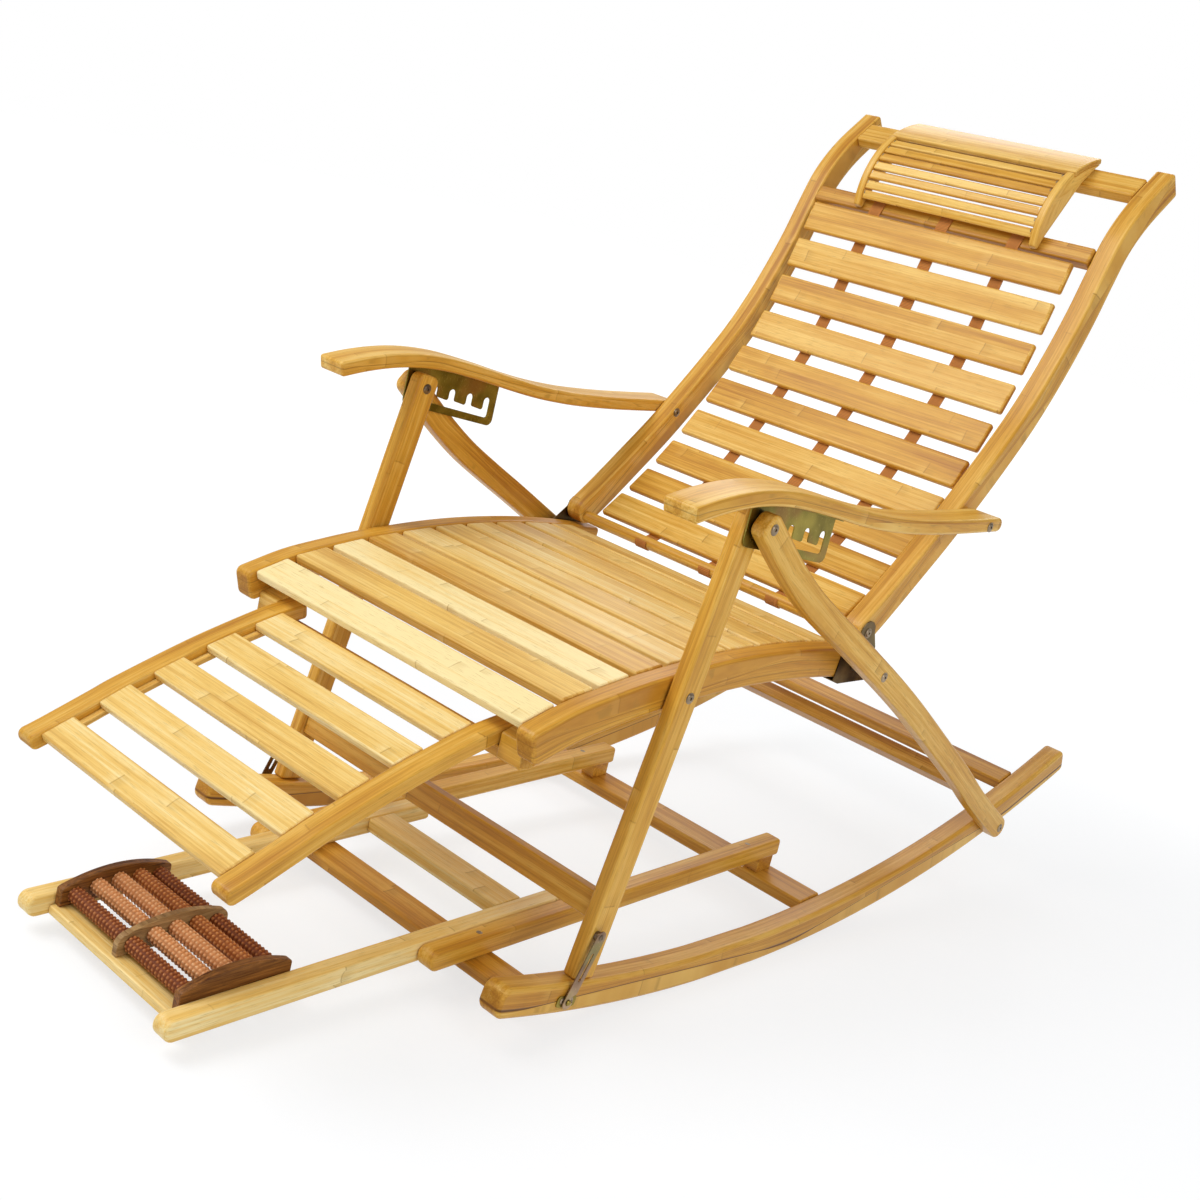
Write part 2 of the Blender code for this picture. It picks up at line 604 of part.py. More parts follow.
for name, edge, thick in (("back_top_crossbar", topBar, topBarThick), ("back_strap_crossbar", strapBar, strapBarThick)):
    a, b = Vector(edge[0]), Vector(edge[1])
    bm = bmesh.new()
    plank(bm, (a + b) / 2, a - b, (a - b).length, thick, gap - railIn, railIn - gap)
    bevel(add(name, bm, amber, pivot=at3(backHinge)), 0.0020)
bm = bmesh.new()
tube(bm, *lowBar, lowBarRadius, gap - railIn, railIn - gap, 16)
add("back_lower_crossbar", bm, honey, pivot=at3(backHinge))

# Headrest: two side plates with narrow slats between them, and a board across the top.
arc = smooth(restFront, 240)
step = (arc[1] - arc[0]).length
boardStart = int(round(restBoardAt / step))
inside = shifted(arc, -(restBoardThick + gap))
under = shifted(arc, -restBoardThick)
c1 = [Vector(p) for p in topBar]
up1 = (c1[0] - c1[1]).normalized()
front1 = Vector((-up1.y, up1.x))
plate = arc[0:boardStart - 4:12] + [arc[boardStart], inside[boardStart]] + inside[boardStart + 16:225:20]
plate += [inside[-1], c1[0] + front1 * 0.0005 - up1 * 0.002, c1[1] + front1 * 0.0005, c2[0] + front2 * 0.0005,
          c2[1] + front2 * 0.0005 + up2 * 0.002]
bm = bmesh.new()
for s in (1, -1):
    prism(bm, plate, s * (restHalf - cheekThick), s * restHalf)
o = bevel(add("headrest_pillow", bm, pale, pivot=at3(backHinge)), 0.0014)
bm = bmesh.new()
for k in range(restSlats):
    j = int(round((restSlatFirst + restSlatPitch * k) / step))
    t = (arc[j + 2] - arc[j - 2]).normalized()
    plank(bm, arc[j] + Vector((t.y, -t.x)) * restInset, t, restSlatWide, restSlatThick,
          cheekThick - 0.0020 - restHalf, restHalf - cheekThick + 0.0020)
operand(o, bm, "UNION")
bm = bmesh.new()
across = list(range(boardStart + 3, 236, 18)) + [240]
prism(bm, [arc[k] for k in across] + [under[k] for k in reversed(across)], -restHalf, restHalf)
bevel(add("headrest_board", bm, honey, pivot=at3(backHinge)), 0.0012)

# Armrests with their notched comb plates.
armMid = shifted(smooth(armTop, 22), -armDeep / 2)
armFine = smooth(armTop, 200)
for s, tag in ((1, "left"), (-1, "right")):
    bm = bmesh.new()
    prism(bm, ribbon(armMid, armDeep, 0.004, 0.0090), *side(s, armIn, armWide))
    o = bevel(add("armrest_" + tag, bm, honey, pivot=at3(armPivot)), 0.0030)
    bored(o, [armPivot], *side(s, armIn - 0.01, armWide + 0.02))
    bm = bmesh.new()
    bolt(bm, *armPivot, s, armIn + armWide + gap, railIn - gap, 0.0030)
    add("arm_bolt_" + tag, bm, steel, 0.4, 0.9, pivot=at3(armPivot))

    # The plate hangs between the crossed legs; its slot has five notches for the crossing bolt.
    def below(y, down):
        p, t = onCurve(armFine, y)
        return (y, p.y - (armDeep + gap) / t.x - down)

    def combBottom(y):
        return combLow + combSlope * (combRear - y)

    def corner(y, angles):
        z = combBottom(y) + combCorner
        return [(y + combCorner * math.cos(math.radians(a)), z + combCorner * math.sin(math.radians(a))) for a in angles]

    outline = [below(y, 0) for y in (combFront, -0.225, -0.190, -0.150, -0.115, combRear)]
    outline += corner(combRear - combCorner, (0, -33, -66, -98))
    outline += corner(combFront + combCorner, (-98, -126, -153, -180))
    bm = bmesh.new()
    prism(bm, outline, s * (legIn + legWide + (combGap - combThick) / 2),
          s * (legIn + legWide + (combGap + combThick) / 2))
    o = add("comb_plate_" + tag, bm, zinc, 0.3, 0.9, pivot=at3(armPivot))
    w = combSlot / 2
    slot = []
    for k in range(combNotches):
        y, z = legTop[0] + combPitch * k, legTop[1] - combDrop * k
        slot += [(y - w, combBottom(y - w) + combStrip + combChannel)]
        slot += [(y + w * math.cos(math.radians(a)), z + w * math.sin(math.radians(a))) for a in (180, 135, 90, 45, 0)]
        slot += [(y + w, combBottom(y + w) + combStrip + combChannel)]
    slot += [(y + w, combBottom(y + w) + combStrip), (legTop[0] - w, combBottom(legTop[0] - w) + combStrip)]
    bm = bmesh.new()
    prism(bm, slot, s * (legIn + legWide - 0.002), s * (rearIn + 0.002))
    operand(o, bm, "DIFFERENCE")
    # Flange screwed under the armrest.
    bm = bmesh.new()
    top = [below(y, 0) for y in (combFront, -0.225, -0.190, -0.150, -0.115, combRear)]
    base = [below(y, combThick) for y in (combRear, -0.115, -0.150, -0.190, -0.225, combFront)]
    x0 = legIn + legWide + (combGap - combThick) / 2
    prism(bm, top + base, s * (x0 + 0.0002), s * (x0 + combFlange))
    operand(o, bm, "UNION")

# Stay links: each hangs from its front leg and hooks over a stud on the rocker.
for s, tag in ((1, "left"), (-1, "right")):
    a, b = Vector(linkPivot), Vector(linkCatch)
    down = (b - a).normalized()
    bm = bmesh.new()
    prism(bm, ribbon([a, b + down * 0.001], linkWide, linkWide / 2, linkWide / 2, 4), s * linkIn, s * (linkIn + linkThick))
    o = add("stay_link_" + tag, bm, zinc, 0.3, 0.9, pivot=at3(linkPivot))
    bm = bmesh.new()
    turned(bm, *linkPivot, [(s * (linkIn + linkThick + 0.0025), boltHead), (s * (legIn + legWide + gap), boltHead),
                            (s * (legIn + legWide + gap), boltShaft), (s * (legIn + 0.0020), boltShaft)])
    operand(o, bm, "UNION")
    # The mouth opens to the rear, so that the link swings off forwards.
    bm = bmesh.new()
    r = studRadius + 0.0006
    mouth = [b + Vector((r * math.cos(math.radians(t)), r * math.sin(math.radians(t)))) for t in range(90, 271, 30)]
    swing = Vector((-down.y, down.x))
    mouth += [mouth[-1] + Vector((0.03, 0.010)), mouth[0] + Vector((0.03, 0.010))]
    prism(bm, mouth, s * (linkIn - 0.002), s * (linkIn + linkThick + 0.002))
    operand(o, bm, "DIFFERENCE")

    face = rockerIn + rockerWide + gap
    bm = bmesh.new()
    prism(bm, ribbon([b + Vector((-0.012, 0.002)), b + Vector((0.012, -0.002))], 0.0140, 0.004, 0.004, 2),
          s * face, s * (face + plateThick))
    o = add("link_catch_" + tag, bm, zinc, 0.3, 0.9)
    bm = bmesh.new()
    turned(bm, *b, [(s * (face + 0.0004), studRadius), (s * (linkIn + linkThick + 0.0010), studRadius),
                    (s * (linkIn + linkThick + 0.0022), studRadius * 0.7)])
    operand(o, bm, "UNION")

# Calf rest.
calfMid = shifted(smooth(calfTop, 14), -calfDeep / 2)
calfMid[-1] = calfMid[-1].lerp(calfMid[-2], 0.2)
for s, tag in ((1, "left"), (-1, "right")):
    bm = bmesh.new()
    prism(bm, ribbon(calfMid, calfDeep, 0.008, 0.005), *side(s, calfIn, calfWide))
    bevel(add("calf_rail_" + tag, bm, honey), 0.0020)
calfFine = smooth(calfTop, 200)
bm = bmesh.new()
for y in calfSlatAt:
    p, t = onCurve(calfFine, y)
    plank(bm, p, t, calfSlatWide, calfSlatThick, gap - calfIn, calfIn - gap)
o = bevel(add("calf_slats", bm, pale), 0.0015)
strip = shifted([onCurve(calfFine, y)[0] for y in (-0.775, -0.730, -0.680, -0.620, -0.560, -0.492)],
                -(calfSlatThick + 0.003 - 0.0008))
bm = bmesh.new()
for s in (1, -1):
    prism(bm, ribbon(strip, 0.006, 0.002, 0.002, 1), s * (calfIn - gap - stripWide), s * (calfIn - gap))
operand(o, bm, "UNION")
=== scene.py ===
import math

import bpy
import numpy as np
from mathutils import Matrix, Vector


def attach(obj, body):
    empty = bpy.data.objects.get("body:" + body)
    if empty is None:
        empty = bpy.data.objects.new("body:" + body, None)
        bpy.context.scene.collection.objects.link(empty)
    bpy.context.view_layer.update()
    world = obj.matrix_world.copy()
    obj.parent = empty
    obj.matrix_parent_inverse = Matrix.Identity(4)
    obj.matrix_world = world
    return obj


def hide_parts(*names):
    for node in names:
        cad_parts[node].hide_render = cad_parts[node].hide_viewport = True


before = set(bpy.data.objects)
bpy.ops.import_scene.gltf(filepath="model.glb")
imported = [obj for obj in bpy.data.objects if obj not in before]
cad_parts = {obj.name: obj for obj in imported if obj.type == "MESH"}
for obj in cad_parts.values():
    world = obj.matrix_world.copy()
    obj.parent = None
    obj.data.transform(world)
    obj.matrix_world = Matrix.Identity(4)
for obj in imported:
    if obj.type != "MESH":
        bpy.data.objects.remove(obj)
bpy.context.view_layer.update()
sides = ((1, "Left", "left"), (-1, "Right", "right"))
gap = 0.0003  # left between pieces that touch


# ---- curves seen from the side, as (y, z) points

def smoothCurve(points, count):
    fine = []
    p = [Vector(q) for q in points]
    p = [2 * p[0] - p[1]] + p + [2 * p[-1] - p[-2]]
    for a, b, c, d in zip(p, p[1:], p[2:], p[3:]):
        for k in range(16):
            t = k / 16
            fine.append(0.5 * (2 * b + (c - a) * t + (2 * a - 5 * b + 4 * c - d) * t * t
                               + (3 * b - a - 3 * c + d) * t ** 3))
    fine.append(p[-2])
    along = [0.0]
    for a, b in zip(fine, fine[1:]):
        along.append(along[-1] + (b - a).length)
    out, j = [], 0
    for k in range(count + 1):
        s = along[-1] * k / count
        while j < len(fine) - 2 and along[j + 1] < s:
            j += 1
        t = (s - along[j]) / (along[j + 1] - along[j])
        out.append(fine[j].lerp(fine[j + 1], min(t, 1.0)))
    return out


def arcPoints(y, z, radius, degrees):
    turns = [math.radians(v) for v in degrees]
    return [Vector((y + radius * math.cos(a), z + radius * math.sin(a))) for a in turns]


def offsetPath(path, distance):
    out = []
    for k, p in enumerate(path):
        t = (path[min(k + 1, len(path) - 1)] - path[max(k - 1, 0)]).normalized()
        out.append(p + Vector((-t.y, t.x)) * distance)
    return out


def barEnd(at, along, half, radius, steps):
    left = Vector((-along.y, along.x))
    out = []
    for side in (1, -1):
        centre = at + left * side * (half - radius)
        for k in range(steps + 1):
            a = math.radians(90 * k / steps)
            a = a if side > 0 else math.radians(90) - a
            out.append(centre + along * radius * math.sin(a) + left * side * radius * math.cos(a))
    return out


def barOutline(path, depth, startRound, endRound, steps):
    h = depth / 2
    left, right = offsetPath(path, h), offsetPath(path, -h)
    tail = barEnd(path[-1], (path[-1] - path[-2]).normalized(), h, endRound, steps)
    head = barEnd(path[0], (path[0] - path[1]).normalized(), h, startRound, steps)
    keep = []
    for p in left[1:-1] + tail + list(reversed(right[1:-1])) + head:
        if not keep or (p - keep[-1]).length > 2e-5:
            keep.append(p)
    return keep


def pointAt(fine, y):
    k = min(range(1, len(fine) - 1), key=lambda i: abs(fine[i].x - y))
    return fine[k], (fine[k + 1] - fine[k - 1]).normalized()


# ---- modelling helpers

def clearSelection():
    bpy.ops.object.select_all(action="DESELECT")


def only(piece):
    clearSelection()
    piece.select_set(True)
    bpy.context.view_layer.objects.active = piece


def extrude(rings):
    # pulls the filled outline out along x, through rings of (x, radius)
    bpy.ops.object.mode_set(mode="EDIT")
    bpy.ops.mesh.select_all(action="SELECT")
    for (x0, r0), (x1, r1) in zip(rings, rings[1:]):
        bpy.ops.mesh.extrude_region_move(TRANSFORM_OT_translate={"value": (x1 - x0, 0, 0)})
        if r1 != r0:
            bpy.ops.transform.resize(value=(1, r1 / r0, r1 / r0), center_override=(x1, 0, 0))
    bpy.ops.mesh.select_all(action="SELECT")
    bpy.ops.mesh.normals_make_consistent(inside=False)
    bpy.ops.object.mode_set(mode="OBJECT")


def coordinates(piece):
    co = np.empty(len(piece.data.vertices) * 3, dtype=np.float32)
    piece.data.vertices.foreach_get("co", co)
    return co.reshape(-1, 3)


def reshape(piece, rule):
    # the rule gives new x, y and z from the old ones
    columns = rule(*coordinates(piece).T)
    piece.data.vertices.foreach_set("co", np.stack(columns, 1).astype(np.float32).ravel())
    piece.data.update()


def sideBlank(name, outline, inner, outer):
    # a filled outline pulled out sideways
    clearSelection()
    lo, hi = sorted((inner, outer))
    bpy.ops.mesh.primitive_circle_add(vertices=len(outline), radius=0.1, fill_type="NGON")
    piece = bpy.context.object
    piece.name = name
    points = np.array([(lo, p[0], p[1]) for p in outline])
    reshape(piece, lambda x, v, w: points.T)
    extrude([(lo, 1), (hi, 1)])
    return piece


def smoothShaded(piece):
    only(piece)
    bpy.ops.object.shade_smooth_by_angle(angle=math.radians(32))
    return piece


def roundEdges(piece, width, segments=3, angle=38):
    smoothShaded(piece)
    bevel = piece.modifiers.new("edges", "BEVEL")
    bevel.width, bevel.segments = width, segments
    bevel.limit_method, bevel.angle_limit = "ANGLE", math.radians(angle)
    bevel.harden_normals = True
    bpy.ops.object.modifier_apply(modifier=bevel.name)
    return piece


def cutOut(piece, cutter):
    only(piece)
    cut = piece.modifiers.new("cut", "BOOLEAN")
    cut.operation, cut.solver, cut.object = "DIFFERENCE", "EXACT", cutter
    bpy.ops.object.modifier_apply(modifier=cut.name)
    bpy.data.objects.remove(cutter)
    return piece


def joined(pieces, name):
    clearSelection()
    for p in pieces:
        p.select_set(True)
    bpy.context.view_layer.objects.active = pieces[0]
    bpy.ops.object.join()
    pieces[0].name = name
    return pieces[0]


def copyOf(base, name):
    piece = base.copy()
    piece.data = base.data.copy()
    piece.name = name
    bpy.context.collection.objects.link(piece)
    return piece


def setAttribute(piece, name, values, kind="FLOAT", key="value"):
    layers = piece.data.attributes
    layer = layers.get(name) or layers.new(name, kind, "POINT")
    layer.data.foreach_set(key, np.ascontiguousarray(values, dtype=np.float32).ravel())


def setGrain(piece, grain, tone, cut):
    # length, width and depth in the wood, how light this length of bamboo is, and where it is sawn across
    setAttribute(piece, "grain", grain, "FLOAT_VECTOR", "vector")
    setAttribute(piece, "tone", np.full(len(grain), tone))
    setAttribute(piece, "cut", cut)


def grainAlong(piece, path, tone, shift=0.0):
    co = coordinates(piece)
    p = np.array([tuple(q) for q in path])
    a, b = p[:-1], p[1:]
    d = b - a
    length = np.linalg.norm(d, axis=1)
    start = np.concatenate([[0], np.cumsum(length)])[:-1]
    yz = co[:, None, 1:]
    raw = ((yz - a) * d).sum(2) / (length ** 2)
    t = np.clip(raw, 0, 1)
    t[:, 0] = np.minimum(raw[:, 0], 1)
    t[:, -1] = np.maximum(raw[:, -1], 0)
    near = np.linalg.norm(yz - a - t[:, :, None] * d, axis=2)
    k = near.argmin(1)
    i = np.arange(len(co))
    n = np.stack([-d[:, 1], d[:, 0]], 1) / length[:, None]
    across = ((co[:, 1:] - a[k]) * n[k]).sum(1)
    along = start[k] + t[i, k] * length[k]
    past = np.maximum(-along, along - start[-1] - length[-1])
    cut = (past > past.max() * 0.96) & (past > 0.0005)
    setGrain(piece, np.stack([along + shift, across, np.abs(co[:, 0])], 1), tone, cut)
    return piece


def grainAcross(piece, tone, shift=0.0, drift=0.0):
    # a crossbar or slat, whose length is along x
    x, v, w = coordinates(piece).T
    setGrain(piece, np.stack([x + shift, v + drift, w], 1), tone, np.abs(x) > np.abs(x).max() - 1e-5)
    return piece


def board(name, outline, inner, outer, edge, segments, tone, shift=0.0, path=None):
    # the grain runs along the path, or else across the chair
    piece = roundEdges(sideBlank(name, outline, inner, outer), edge, segments)
    return grainAlong(piece, path, tone, shift) if path else grainAcross(piece, tone, shift)


def sideBar(name, path, bar, s, segments=4):
    # a bar of even depth along the path, on the side that s gives
    outline = barOutline(path, bar["deep"], *bar["ends"], bar["steps"])
    return board(name, outline, s * bar["inner"], s * (bar["inner"] + bar["wide"]), bar["edge"], segments,
                 bar["tone"], bar["shift"] * s, path)


def dress(piece, body, slotName, finish, *nodes):
    piece.data.materials.clear()
    piece.data.materials.append(finish)
    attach(piece, body)
    if nodes:
        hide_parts(*nodes)
    return piece


def slatRow(name, length, look, places, tones, seed):
    # copies of one slat: the middle of each upper face comes to a place, its width along the place's direction
    clearSelection()
    bpy.ops.mesh.primitive_cube_add(size=1)
    base = bpy.context.object
    base.scale = (length, look["slatWide"], look["slatThick"])
    base.location = (0, 0, -look["slatThick"] / 2)
    bpy.ops.object.transform_apply(location=True, rotation=True, scale=True)
    roundEdges(base, look["slatEdge"])
    row = []
    for k, ((centre, along), tone) in enumerate(zip(places, tones), seed):
        piece = copyOf(base, name)
        grainAcross(piece, tone, k * 0.731, k * 0.057)
        t = Vector(along).normalized()
        reshape(piece, lambda x, v, w: (x, centre[0] + v * t.x - w * t.y, centre[1] + v * t.y + w * t.x))
        row.append(piece)
    bpy.data.objects.remove(base)
    return row


def ledgers(path, deep, inner, tone):
    # the two strips that carry the ends of the slats
    return [board("ledger", barOutline(path, deep, 0.002, 0.002, 2), s * (inner - 0.0093), s * (inner - gap),
                  0.001, 2, tone, 0.0, path) for s in (1, -1)]


def slatTones(first, count, low, high):
    waves = [0.5 + 0.5 * math.sin(k * 2.4 + 0.7 * math.sin(k * 5.1)) for k in range(first, first + count)]
    return [low + (high - low) * wave for wave in waves]


def lathe(name, y, z, rings, count, edge=0.0):
    # rings of (x, radius) along an axle
    clearSelection()
    bpy.ops.mesh.primitive_circle_add(vertices=count, radius=1, fill_type="NGON", rotation=(0, math.pi / 2, 0))
    piece = bpy.context.object
    piece.name = name
    bpy.ops.object.transform_apply(location=True, rotation=True, scale=True)
    reshape(piece, lambda x, v, w: (x + rings[0][0], v * rings[0][1], w * rings[0][1]))
    extrude(rings)
    reshape(piece, lambda x, v, w: (x, v + y, w + z))
    return roundEdges(piece, edge, 2, 30) if edge else smoothShaded(piece)


# ---- shader wires

class Wire:
    def __init__(self, tree, socket):
        self.tree, self.socket = tree, socket

    def node(self, kind, settings=None, inputs=None, out=0):
        n = self.tree.nodes.new(kind)
        for key, value in (settings or {}).items():
            if key == "stops":
                elements = n.color_ramp.elements
                while len(elements) < len(value):
                    elements.new(0.5)
                for e, (at, colour) in zip(elements, value):
                    e.position, e.color = at, (*colour, 1)
            else:
                setattr(n, key, value)
        for key, value in (inputs or {}).items():
            if isinstance(value, Wire):
                self.tree.links.new(value.socket, n.inputs[key])
            else:
                n.inputs[key].default_value = value
        return Wire(self.tree, n.outputs[out])

    def maths(self, operation, *others):
        values = (self,) + others
        return self.node("ShaderNodeMath", {"operation": operation}, dict(enumerate(values)))

    def __add__(self, o): return self.maths("ADD", o)
    def __sub__(self, o): return self.maths("SUBTRACT", o)
    def __rsub__(self, o): return self.node("ShaderNodeMath", {"operation": "SUBTRACT"}, {0: o, 1: self})
    def __mul__(self, o): return self.maths("MULTIPLY", o)
    def __truediv__(self, o): return self.maths("DIVIDE", o)

    __radd__, __rmul__ = __add__, __mul__

    def between(self, low, high):
        # smooth step
        return self.node("ShaderNodeMapRange", {"interpolation_type": "SMOOTHSTEP"},
                         {"Value": self, "From Min": low, "From Max": high})

    def blend(self, a, b):
        # this wire mixes two colours
        a, b = (v if isinstance(v, Wire) else (*v, 1) for v in (a, b))
        return self.node("ShaderNodeMix", {"data_type": "RGBA"}, {"Factor": self, 6: a, 7: b}, 2)

    def ramp(self, *stops):
        return self.node("ShaderNodeValToRGB", {"stops": stops}, {0: self})

    def noise(self, scale, detail=3.0, rough=0.55):
        return self.node("ShaderNodeTexNoise", {"noise_dimensions": "3D"},
                         {"Vector": self, "Scale": scale, "Detail": detail, "Roughness": rough})

    def stretched(self, scales, detail=3.0, rough=0.55):
        # noise with a scale of its own along each axis
        return self.node("ShaderNodeMapping", None, {"Vector": self, "Scale": scales}).noise(1.0, detail, rough)

    def into(self, node, key):
        self.tree.links.new(self.socket, node.inputs[key])


def startFinish(name):
    finish = bpy.data.materials.new(name)
    finish.use_nodes = True
    return finish, Wire(finish.node_tree, None), finish.node_tree.nodes["Principled BSDF"]


def attribute(start, name, out=2):
    return start.node("ShaderNodeAttribute", {"attribute_name": name}, out=out)


def grainParts(start, grain, wanted):
    parts = start.node("ShaderNodeSeparateXYZ", None, {0: grain}).socket.node
    return (Wire(start.tree, parts.outputs[k]) for k in wanted)


def shaded(colour, by, plus=0.0):
    return tuple(min(1, c * by + plus) for c in colour)


shaderKeys = {"shine": "Specular IOR Level", "coat": "Coat Weight", "coatRough": "Coat Roughness", "metal": "Metallic"}


def endFinish(shader, colour, rough, height, strength, distance, **values):
    bump = height.node("ShaderNodeBump", None, {"Strength": strength, "Distance": distance, "Height": height})
    for key, wire in (("Base Color", colour), ("Roughness", rough), ("Normal", bump)):
        wire.into(shader, key)
    for key, value in values.items():
        shader.inputs[shaderKeys[key]].default_value = value


# sizes in metres, and how strongly each pattern moves the shade
bambooLook = {
    "strip": 0.0185, "stripShift": 0.31, "layer": 0.0105, "stripShade": 0.22,
    "streak": (2.6, 120.0, 120.0), "streakShade": 0.8, "fibre": (5.0, 400.0, 400.0), "fibreShade": 0.62,
    "cloud": (6.0, 26.0, 26.0), "cloudShade": 0.42, "toneShade": 0.95, "toneMiddle": 0.45, "shadeShift": -0.27,
    "knuckle": 0.33, "wander": (0.0, 30.0, 30.0), "wanderWide": 0.009, "line": 0.0005, "blush": 0.02,
    "dash": (42.0, 1100.0, 1100.0), "dashDark": 0.5, "pore": 900.0,
    "wave": (9.0, 0.0, 0.0), "waveHigh": 0.0006, "rough": 0.26, "shine": 0.25, "coat": 0.06, "coatRough": 0.16}


def bamboo(name, dark, middle, light, lines=(), lineDepth=0.38, lineWide=0.0011):
    look = bambooLook
    finish, start, shader = startFinish(name)
    grain, tone, cut = attribute(start, "grain", 1), attribute(start, "tone"), attribute(start, "cut")
    s, d, n = grainParts(start, grain, range(3))
    # glued strips, each with its own shade and its own knuckles
    cell = start.node("ShaderNodeCombineXYZ", None,
                      {0: (d / look["strip"] + look["stripShift"]).maths("FLOOR"),
                       1: (n / look["layer"]).maths("FLOOR"), 2: (tone * 977.0).maths("FLOOR")})
    dice = start.node("ShaderNodeTexWhiteNoise", {"noise_dimensions": "3D"}, {"Vector": cell})
    streaks = grain.stretched(look["streak"], 5.0, 0.66)
    fibres = grain.stretched(look["fibre"], 4.0, 0.7)
    clouds = grain.stretched(look["cloud"], 3.0, 0.55)
    shade = (dice * look["stripShade"] + streaks * look["streakShade"] + clouds * look["cloudShade"]
             + look["shadeShift"] + (tone - look["toneMiddle"]) * look["toneShade"]
             + (fibres - 0.5) * look["fibreShade"])
    colour = shade.ramp((0.2, dark), (0.5, middle), (0.84, light))
    # knuckles: a thin soft line, browner on one side of it and paler on the other
    wander = (grain.stretched(look["wander"], 1.0) - 0.5) * look["wanderWide"]
    off = (((s + wander) / look["knuckle"] + dice * 5.0).maths("FRACT") - 0.5) * look["knuckle"]
    line = 1.0 - off.maths("ABSOLUTE").between(look["line"] * 0.2, look["line"] * 3.0)
    brown = off.between(-0.002, 0.0025) * (1.0 - off.between(0.003, look["blush"]))
    fair = (1.0 - off.between(-0.003, 0.001)) * off.between(-look["blush"], -0.003)
    patchy = clouds.between(0.36, 0.62)
    tint = (brown * patchy * 0.3).blend(colour, shaded(middle, 0.62))
    tint = (fair * patchy * 0.3).blend(tint, light)
    tint = (line * (patchy * 0.35 + 0.2)).blend(tint, shaded(dark, 0.62))
    # short dark fibre dashes
    dashes = grain.stretched(look["dash"], 2.0).between(0.56, 0.7)
    tint = (dashes * look["dashDark"]).blend(tint, shaded(middle, 0.58))
    height = streaks * 0.35 + fibres * 0.35 - line * 0.2 - dashes * 0.2
    for at in lines:  # glue lines along the side faces, and painted shade where a groove runs along them
        wave = (grain.stretched(look["wave"], 1.0) - 0.5) * look["waveHigh"]
        glueLineAndGrooveShade = 1.0 - (d + wave - at).maths("ABSOLUTE").between(lineWide * 0.2, lineWide)
        tint = (glueLineAndGrooveShade * lineDepth).blend(tint, shaded(dark, 0.32))
        height = height - glueLineAndGrooveShade * 3.0 * lineDepth
    # sawn ends show brown pores
    pores = grain.noise(look["pore"], 2.0).between(0.45, 0.62)
    tint = (cut * (0.38 + pores * 0.3)).blend(tint, shaded(dark, 0.85))
    endFinish(shader, tint, streaks * 0.12 + clouds * 0.12 + look["rough"] + cut * 0.25, height, 0.32, 0.0004,
              shine=look["shine"], coat=look["coat"], coatRough=look["coatRough"])
    return finish


def stainedWood(name, dark, light, rough):
    finish, start, shader = startFinish(name)
    grain = attribute(start, "grain", 1)
    warp = grain.stretched((9.0, 60.0, 60.0), 2.0)
    streaks = grain.stretched((14.0, 420.0, 420.0), 5.0, 0.68)
    pores = grain.stretched((90.0, 1400.0, 1400.0), 2.0).between(0.56, 0.72)
    colour = (streaks * 0.72 + warp * 0.28).ramp((0.36, dark), (0.64, light))
    endFinish(shader, (pores * 0.5).blend(colour, shaded(dark, 0.5)), warp * 0.16 + rough,
              streaks * 0.3 - pores * 0.6, 0.3, 0.0003, shine=0.24, coat=0.03, coatRough=0.25)
    return finish


def rollerWood(name, dark, light):
    # the attribute lift is 1 on top of a stud and 0 between studs; the colour follows it as painted shade between the
    # studs and painted highlight on their tops
    finish, start, shader = startFinish(name)
    lift = attribute(start, "lift")
    place = start.node("ShaderNodeTexCoord", out=3)
    fine = place.stretched((40.0, 260.0, 260.0))
    spots = place.noise(420.0, 2.0).between(0.5, 0.75)
    patches = place.stretched((14.0, 90.0, 90.0), 2.0)
    # lift darkens the hollows between studs (painted shade) and lightens the stud tops (painted highlight); fine and
    # patches are the wood's own tone
    shade = lift * 0.42 + fine * 0.42 + patches * 0.3 - 0.08
    colour = shade.ramp((0.1, shaded(dark, 0.55)), (0.4, dark), (0.86, light))
    # lighter speckled stud tops: partly wear, partly painted highlight
    wearAndTipHighlight = lift.between(0.8, 1.0) * (0.1 + spots * 0.45)
    endFinish(shader, wearAndTipHighlight.blend(colour, shaded(light, 1.35, 0.06)), 0.46 - wearAndTipHighlight * 0.18 + fine * 0.1,
              fine, 0.25, 0.0003, shine=0.25)
    return finish


weave = {"warp": 0.0022, "weft": 0.0016, "halfWide": 0.01, "stripe": (0.0062, 0.0074)}


def webbingCloth(name, colour):
    finish, start, shader = startFinish(name)
    grain = attribute(start, "grain", 1)
    s, x = grainParts(start, grain, (0, 2))
    threads = ((s * (2 * math.pi / weave["warp"])).maths("SINE")
               * (x * (2 * math.pi / weave["weft"])).maths("SINE")) * 0.5 + 0.5
    stripe = 1.0 - x.maths("PINGPONG", weave["halfWide"]).between(*weave["stripe"])
    fuzz = grain.noise(700.0, 2.0)
    base = (threads * 0.6 + fuzz * 0.4).blend(shaded(colour, 0.45), shaded(colour, 1.25))
    endFinish(shader, (stripe * 0.25).blend(base, shaded(colour, 0.6)), 0.78 + fuzz * 0.15,
              threads, 0.6, 0.0004)
    return finish


def platedSteel(name, dark, light, rough, tint=None):
    finish, start, shader = startFinish(name)
    place = start.node("ShaderNodeTexCoord", out=3)
    cloud = place.noise(26.0, 2.0, 0.45)
    fine = place.noise(900.0, 2.0)
    colour = cloud.ramp((0.34, dark), (0.66, light))
    if tint:
        colour = (place.noise(17.0, 2.0).between(0.5, 0.68) * 0.55).blend(colour, tint)
    scuffs = place.stretched((60.0, 700.0, 240.0), 2.0).between(0.6, 0.74)
    endFinish(shader, (scuffs * 0.3).blend(colour, shaded(light, 1.8, 0.1)),
              cloud * 0.16 + fine * 0.06 + scuffs * 0.12 + rough, cloud * 0.6 + fine * 0.4, 0.12, 0.0003, metal=1.0)
    return finish
